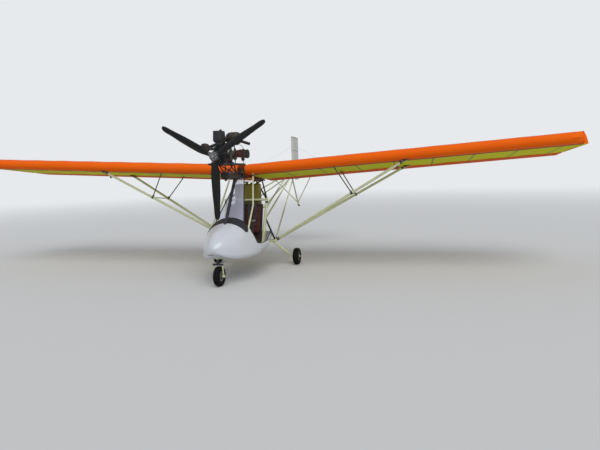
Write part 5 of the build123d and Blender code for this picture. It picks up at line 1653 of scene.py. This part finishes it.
seam_tape = tape_material("orange_seam_tape", "E2570F", "D04D0E")
# The dark brown band under the seam is painted shade of the nose's underside, sewn like a binding tape.
painted_shade_band = tape_material("brown_band_of_painted_shade", "7A2609", "6A2008", "8E3A18")
# The pockets' darker yellow is partly the tape's own and partly painted shade of the batten inside.
pocket_tape = tape_material("yellow_pocket_tape", "9A9A0E", "8A8B0C", "B0AE5A")
TAPE_LIFT = 0.0010
SEAM_BACK = SEAM_SHARE * CHORD
BATTEN_X = ROOT_X + RIB_PITCH * np.arange(1, 9)
for word, side in SIDES:
    seams, pockets = {}, []
    span = np.linspace(ROOT_X + 0.001, TIP_X - 0.008, 120)[:, None]
    # Under the seam the band reaches 85 mm forward: that width is painted shade.
    for top, ahead, behind in ((True, 0.016, 0.016), (False, 0.085, 0.012)):
        across = np.linspace(-ahead, behind, 7)[None, :]
        grid_x, grid_back = np.broadcast_arrays(span, SEAM_BACK + across)
        seams[top] = tape(grid_x, grid_back, top, TAPE_LIFT, True)
    chord = np.linspace(SEAM_BACK + 0.018, float(SAIL_END) - 0.004, 44)[:, None]
    for middle in BATTEN_X:
        for top in (True, False):
            grid_x, grid_back = np.broadcast_arrays(middle + np.linspace(-0.014, 0.014, 5)[None, :], chord)
            pockets.append(tape(grid_x, grid_back, top, TAPE_LIFT, False))
    tape_piece(f"seam_tape_{word}", seam_tape, [seams[True]], side)
    tape_piece(f"painted_shade_band_{word}", painted_shade_band, [seams[False]], side)
    tape_piece(f"batten_pockets_{word}", pocket_tape, pockets, side)
    hem_x = np.linspace(ROOT_X + 0.004, AILERON_FROM_X - 0.004, 40)
    hem = round_bar(wing_points(hem_x, CHORD - 0.001, TRAILING_THICK / 2), 0.0062, 10)
    uv = np.zeros((len(hem[0]), 2))
    piece(f"trailing_hem_{word}", "airframe", flame_cloth, *on_side(side, *hem), uv=uv)
print("batten pockets at", np.round(BATTEN_X, 3).tolist())

# %% Cloth under the boom
GAP_HALF = 0.078
GAP_BACK = (0.020, 0.700)
# Its dark red is orange cloth darkened as painted shade under the wing's centre.
gap_cloth = cloth_material("gap_cloth_painted_shade", "A5250F", "8F200E", "6B180B", stripes=False)
gap_back = np.linspace(*GAP_BACK, 30)[:, None]
gap_x = np.linspace(-GAP_HALF, GAP_HALF, 21)[None, :]
under = wing_points(ROOT_X, gap_back, lower(gap_back) - 0.004)
sag_shape = np.cos(np.pi / 2 * np.abs(gap_x) / GAP_HALF)
sink = np.clip(under[..., 2] - (BOOM_Z - BOOM_R - 0.004), 0, None) * sag_shape
gap = np.stack(np.broadcast_arrays(gap_x, under[..., 1], under[..., 2] - sink), axis=-1)
gap_width = float(np.linalg.norm(np.diff(gap[15], axis=0), axis=1).sum())
gap_length = float(np.linalg.norm(np.diff(gap[:, 10], axis=0), axis=1).sum())
share_x, share_y = np.meshgrid(np.linspace(0, gap_width, 21), np.linspace(0, gap_length, 30))
cover = piece("boom_gap_cloth", "airframe", gap_cloth, gap.reshape(-1, 3), grid_faces(30, 21).tolist(),
              uv=np.stack([share_x, share_y], axis=-1).reshape(-1, 2))
thick = cover.modifiers.new("cloth_thickness", "SOLIDIFY")
thick.thickness = 0.0012
print("gap cloth", round(gap_width, 3), "by", round(gap_length, 3))

# %% Tip socks
SOCK_OUT = 0.075
SOCK_END = 1.120
SOCK_SWEEP = 0.045
SOCK_FRONT = 0.070


def tip_sock(word, side):
    """The wing's rounded end: outwards the span grows as a sine and the height falls as a cosine.

    It is an orange roof and a yellow floor, both tapering to nothing towards the tail.
    """
    turn = np.linspace(0, np.pi / 2, 12)[:, None]
    share = np.linspace(0, 1, 44)[None, :] ** 1.7
    start = TIP_CORNER + (SOCK_END - TIP_CORNER) * share
    roof, floor = skin_height(TIP_X, start, True), skin_height(TIP_X, start, False)
    front = np.clip((start - TIP_CORNER) / SOCK_FRONT, 0, 1)
    roof = floor + (roof - floor) * np.sin(front * np.pi / 2) ** 0.6
    out = TIP_X - 0.001 + SOCK_OUT * (1 - share ** 2) * np.sin(turn)
    back = start + SOCK_SWEEP * (1 - share) * (1 - np.cos(turn))
    made = []
    for kind, cloth, height in (("top", orange_cloth, floor + (roof - floor) * np.cos(turn)),
                                ("floor", yellow_cloth, floor + 0 * turn)):
        points = wing_points(out, back, height)
        faces = grid_faces(*out.shape)
        if kind == "top":
            faces = faces[:, ::-1]
        uv = np.stack(np.broadcast_arrays(start, out - ROOT_X), axis=-1).reshape(-1, 2)
        form = on_side(side, points.reshape(-1, 3), faces.tolist())
        made.append(piece(f"tip_sock_{kind}_{word}", "airframe", cloth, *form, uv=uv))
    return made


for word, side in SIDES:
    print("tip sock", [len(made.data.polygons) for made in tip_sock(word, side)])

# %% [markdown]
# ## Cabin trim
#
# The pilot's things: lap and shoulder belts with steel buckles, rubber on the stick and the
# pedals, a gaiter where the stick leaves the floor, knobs and switches under the dials, and a
# rubber edging pushed over the rim of the pod's opening. The edging follows the frame's own
# sharp rim edges, so it fits them wherever they run.

# %% Belts
belt_web = webbing_material("dark_belt_webbing", "221C1D", "352D2E")
BELT_WIDTH = 0.044
BACK_UP = np.array([0.0, math.sin(BACK_TILT), math.cos(BACK_TILT)])
BACK_OUT = np.array([0.0, -math.cos(BACK_TILT), math.sin(BACK_TILT)])
belts, buckles = [], []
for sign in (1, -1):
    middle = sign * SEAT_X
    lap = [station(middle + sign * 0.139, 0.945, 0.500), station(middle + sign * 0.132, 0.900, 0.540),
           station(middle + sign * 0.070, 0.850, 0.5445), station(middle, 0.835, 0.5450),
           station(middle - sign * 0.070, 0.850, 0.5445), station(middle - sign * 0.122, 0.900, 0.540),
           station(middle - sign * 0.126, 0.945, 0.500)]
    path = curve_through(lap, 40)
    belts.append(strap(path, BELT_WIDTH, 0.0022, (0.0, 1.0, -0.15)))
    buckle = station(middle, 0.835, 0.5475)
    buckles.append(slab(buckle, (1, 0, 0), (0, 1, 0), (0.062, 0.052, 0.010)))
    buckles.append(slab(buckle + [0, 0, 0.007], (1, 0, 0), (0, 1, 0), (0.040, 0.034, 0.006)))
    for reach in (-1, 1):
        centre = BACK_AT + np.array([middle + reach * 0.055, 0, 0])
        low = BACK_AT + np.array([middle + reach * 0.020, 0, 0])
        line = [centre + BACK_UP * 0.262 - BACK_OUT * 0.034, centre + BACK_UP * 0.254 + BACK_OUT * 0.004,
                centre + BACK_UP * 0.225 + BACK_OUT * 0.0375, centre + BACK_UP * 0.06 + BACK_OUT * 0.0378,
                low - BACK_UP * 0.16 + BACK_OUT * 0.0385, low - BACK_UP * 0.235 + BACK_OUT * 0.055,
                station(middle + reach * 0.014, 0.860, 0.5515)]
        belts.append(strap(curve_through(line, 60), BELT_WIDTH, 0.0022, (1.0, 0.0, 0.0)))
        slide = low - BACK_UP * 0.02 + BACK_OUT * 0.0405 + np.array([reach * 0.012, 0, 0])
        buckles.append(slab(slide, (1, 0, 0), BACK_UP, (0.056, 0.030, 0.004)))
hard_piece("seat_belts", belt_web, belts)
bevelled(hard_piece("belt_buckles", plated, buckles), 0.0012)
print("belts", len(belts), "buckles", len(buckles))

# %% Stick, pedals, knobs and tank cap
rubbers, knobs, red_knobs = [], [], []
SWITCH_NUT = [(0.0, 0.0075), (0.002, 0.0075), (0.003, 0.003), (0.014, 0.0025)]
SWITCH_LEVER = [(0.0, 0.0030), (0.004, 0.0045), (0.011, 0.0040)]
PULL_KNOB = [(0.0, 0.004), (0.016, 0.004), (0.017, 0.011), (0.024, 0.012), (0.028, 0.009)]
STICK_AT = station(0.0, 0.452, 0.361)
gaiter = [(0.036 + 0.005 * k, 0.034 - 0.0022 * k + (0.004 if k % 2 else 0.0)) for k in range(9)]
rubbers.append(turned(gaiter, STICK_AT, (0, 0.02, 1), 28))
grip_low = station(0.0, 0.462, 0.735)
grip_high = station(0.0, 0.466, 0.822)
grip_axis = unit(grip_high - grip_low)
ridges = [(0.0045 * k, 0.0172 if k % 2 else 0.0160) for k in range(20)]
rubbers.append(turned(ridges, grip_low, grip_axis, 24))
red_knobs.append(turned([(0.0, 0.006), (0.004, 0.006), (0.006, 0.004)],
                        grip_high + grip_axis * 0.008, grip_axis, 16))
pad = [(0.003 * k, 0.0135 if k % 2 else 0.0122) for k in range(9)]
for x in (-0.255, -0.125, 0.125, 0.255):
    for side in (-1, 1):
        rubbers.append(turned(pad, station(x + side * 0.012, 0.190, 0.520), (side, 0, 0), 20))
for x, z in ((-0.215, 0.760), (-0.165, 0.735), (0.155, 0.735), (0.200, 0.755)):
    spot = station(x, PANEL_FACE_Y, z)
    knobs.append(turned(SWITCH_NUT, spot, (0, 1, 0), 12))
    knobs.append(turned(SWITCH_LEVER, spot + [0, 0.012, 0], (0, 1, 0.3), 12))
for x, z in ((-0.045, 0.765), (0.050, 0.765)):
    spot = station(x, PANEL_FACE_Y, z)
    red_knobs.append(turned(PULL_KNOB, spot, (0, 1, 0), 20))
for x, z, radius in DIALS:
    for angle in np.radians((45, 135, 225, 315)):
        reach = radius + 0.0065
        spot = station(x + reach * math.cos(angle), PANEL_FACE_Y, z + reach * math.sin(angle))
        knobs.append(turned([(0.0, 0.0026), (0.0012, 0.0022)], spot, (0, 1, 0), 10))
red_plastic = finish("red_knob_plastic", "A3221A", "7C1813", 10, (0.28, 0.45), 1.0, 0.03, Coat_Weight=0.3)
hard_piece("rubber_grips", black_rubber, rubbers)
hard_piece("panel_knobs", plated, knobs)
hard_piece("red_knobs", red_plastic, red_knobs)
tank_middle, tank_back = (TANK_BOX[0][1] + TANK_BOX[1][1]) / 2, TANK_BOX[1][1]
vent = [(0.10, tank_middle, TANK_TOP), (0.10, tank_middle, TANK_TOP + FILLER_HEIGHT),
        (0.13, tank_middle + 0.03, TANK_TOP + 0.055), (0.17, tank_back + 0.010, TANK_TOP + 0.02),
        (0.18, tank_back + 0.012, TANK_TOP - 0.20)]
piece("tank_vent_hose", "airframe", hose_amber, *round_bar(curve_through(vent, 40), 0.0042, 10))
print("rubbers", len(rubbers), "knobs", len(knobs))

# %% Rim edging
def sharp_chains(node, least_angle, keep):
    """Chains of points along a mesh's sharp edges, for the edges whose middle passes keep."""
    bm = bmesh.new()
    bm.from_mesh(NODES[node].data)
    bmesh.ops.remove_doubles(bm, verts=bm.verts, dist=1e-5)
    bm.edges.ensure_lookup_table()
    links = {}
    for edge in bm.edges:
        if len(edge.link_faces) != 2 or edge.calc_face_angle(0.0) < least_angle:
            continue
        a, b = (vert.co for vert in edge.verts)
        if not keep((a + b) / 2, [face.normal for face in edge.link_faces]):
            continue
        first, second = edge.verts[0].index, edge.verts[1].index
        links.setdefault(first, []).append(second)
        links.setdefault(second, []).append(first)
    places = {vert.index: np.array(vert.co) for vert in bm.verts}
    bm.free()
    chains, used = [], set()
    starts = [v for v, near in links.items() if len(near) == 1] + list(links)
    for start in starts:
        if start in used:
            continue
        chain, here = [start], start
        used.add(start)
        while True:
            ahead = [v for v in links[here] if v not in used]
            if not ahead:
                break
            here = ahead[0]
            used.add(here)
            chain.append(here)
        chains.append(np.array([places[v] for v in chain]))
    return chains


def evenly(path, pitch):
    """The path at equal steps, smoothed a little so that a tube along it has no kinks."""
    run = np.concatenate([[0], np.cumsum(np.linalg.norm(np.diff(path, axis=0), axis=1))])
    count = max(4, int(run[-1] / pitch))
    even = np.stack([np.interp(np.linspace(0, run[-1], count), run, path[:, k]) for k in range(3)], axis=-1)
    for _ in range(2):
        even[1:-1] = (even[:-2] + 2 * even[1:-1] + even[2:]) / 4
    return even


def on_rim(middle, normals):
    """Edges of the opening on the outer skin: one face looks out from the cabin's centre."""
    height, back = middle.z, middle.y - PROP_PLANE_Y
    if not (0.50 < height < 0.95 and 0.40 < back < 1.46):
        return False
    away = Vector((middle.x, 0.0, middle.z - 0.62)).normalized()
    return any(normal.dot(away) > 0.55 for normal in normals)


rims = [chain for chain in sharp_chains("pod", math.radians(40), on_rim) if len(chain) > 8]
edging = []
for chain in rims:
    length = float(np.sum(np.linalg.norm(np.diff(chain, axis=0), axis=1)))
    if length > 0.25:
        edging.append(round_bar(evenly(chain, 0.018), 0.0058, 10))
    print("rim chain", len(chain), "length", round(length, 3))
if edging:
    piece("rim_edging", "airframe", black_rubber, *solid_of(*edging))

# %% Screen rivets
rivets = []
for sign in (1, -1):
    low, high = station(sign * 0.233, 0.452, 0.873), station(sign * 0.060, 1.010, 1.530)
    along = unit(high - low)
    outward = np.array([sign * 0.75, -0.62, 0.25])
    out = unit(outward - along * (outward @ along))
    for share in np.linspace(0.04, 0.96, 14):
        rivets.append(turned([(0.0, 0.0042), (0.0012, 0.0038), (0.0020, 0.0022), (0.0022, 0.0)],
                             low + (high - low) * share + out * 0.0090, out, 12))
hard_piece("screen_rivets", plated, rivets)
print("rivets", len(rivets))

# %% [markdown]
# ## Tail rigging
#
# The tail's thin surfaces are braced by stainless wire: from high on the fin down to each
# stabiliser tip. Each wire ends in a lug and a small turnbuckle, which is where the eye finds
# it. Rudder and elevator carry the control horns that the pilot's cables pull.

# %% Wires and horns
stainless = finish("stainless_wire", "A5A7A8", "83827E", 12, (0.28, 0.45), 1.0, 0.03, Metallic=0.9)
wires, ends = [], []
STAB_Z = 1.657
FIN_HIGH = station(0.0, 4.600, 2.230)
TURNBUCKLE = [(-0.040, 0.0022), (-0.036, 0.0040), (-0.030, 0.0048), (0.030, 0.0048), (0.036, 0.0040),
              (0.040, 0.0022)]
for sign in (-1, 1):
    tip = station(sign * 1.020, 4.150, STAB_Z + 0.022)
    head = FIN_HIGH + np.array([sign * 0.020, 0, 0])
    along = unit(tip - head)
    wires.append(round_bar([head, head + along * 0.5, tip], 0.0013, 6))
    ends.append(turned(TURNBUCKLE, tip - along * 0.085, along, 10))
    ends.append(slab(tip, (0, 1, 0), (1, 0, 0), (0.050, 0.022, 0.003)))
    ends.append(bolt(tip + np.array([0, 0, 0.0015]), (0, 0, 1), 0.009, 0.006))
    ends.append(slab(head, (0, 1, 0), (0, 0, 1), (0.034, 0.026, 0.003)))
    ends.append(bolt(head + np.array([sign * 0.0015, 0, 0]), (sign, 0, 0), 0.009, 0.006))
hard_piece("tail_wires", stainless, wires)
hard_piece("wire_fittings", plated, ends)


def horn(root, out, back, reach, wide, thick):
    """A triangular control horn with rounded tip, standing out from a surface."""
    out, back = unit(out), unit(back)
    side = np.cross(out, back)
    turn = np.linspace(0, np.pi, 9)
    tip = [out * (reach + 0.007 * math.sin(t)) + back * 0.007 * math.cos(t) for t in turn]
    ring = np.array([back * wide / 2, *tip, -back * wide / 2])
    points = np.concatenate([root + ring - side * thick / 2, root + ring + side * thick / 2])
    faces = tube_faces(2, len(ring))
    return points, [list(face)[::-1] for face in faces]


for body, root, out, back in (
        ("rudder", station(0.020, 4.715, 1.640), (1, 0, 0), (0, 1, 0)),
        ("elevator", station(0.145, 4.320, STAB_Z - 0.019), (0, 0, -1), (0, 1, 0))):
    parts = [horn(root, out, back, 0.055, 0.060, 0.003)]
    if body == "rudder":
        parts.append(horn(root * np.array([-1, 1, 1]), (-1, 0, 0), (0, 1, 0), 0.055, 0.060, 0.003))
    hard_piece(f"{body}_horn", finishes["rim_alloy"], parts, body)
print("wires", len(wires), "ends", len(ends))

# %% [markdown]
# ## Smooth mouldings
#
# The frame's mesh of a moulding is loose triangles, and gloss shows every one of them as a
# band. A copy whose corners are merged and whose faces are shaded round gives the gelcoat and
# the blades one even sheen. Only edges sharper than a set angle stay hard.

# %% Round shading
def round_shaded(node_name, body, degrees=32):
    """A copy of a node with its corners merged, shaded round apart from its real edges."""
    name = f"{node_name}_moulding"
    mesh = bpy.data.meshes.new(name)
    work = bmesh.new()
    work.from_mesh(NODES[node_name].data)
    bmesh.ops.remove_doubles(work, verts=work.verts, dist=0.00002)
    work.to_mesh(mesh)
    work.free()
    if "custom_normal" in mesh.attributes:
        mesh.attributes.remove(mesh.attributes["custom_normal"])
    mesh.shade_smooth()
    mesh.set_sharp_from_angle(angle=math.radians(degrees))
    mesh.materials.clear()
    mesh.materials.append(NODES[node_name].data.materials[0])
    made = bpy.data.objects.new(name, mesh)
    bpy.context.scene.collection.objects.link(made)
    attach(made, body)
    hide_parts(node_name)
    return made


for node_name, body in (("pod", "airframe"), ("propeller_blades", "propeller")):
    made = round_shaded(node_name, body)
    print(node_name, "faces", len(made.data.polygons))
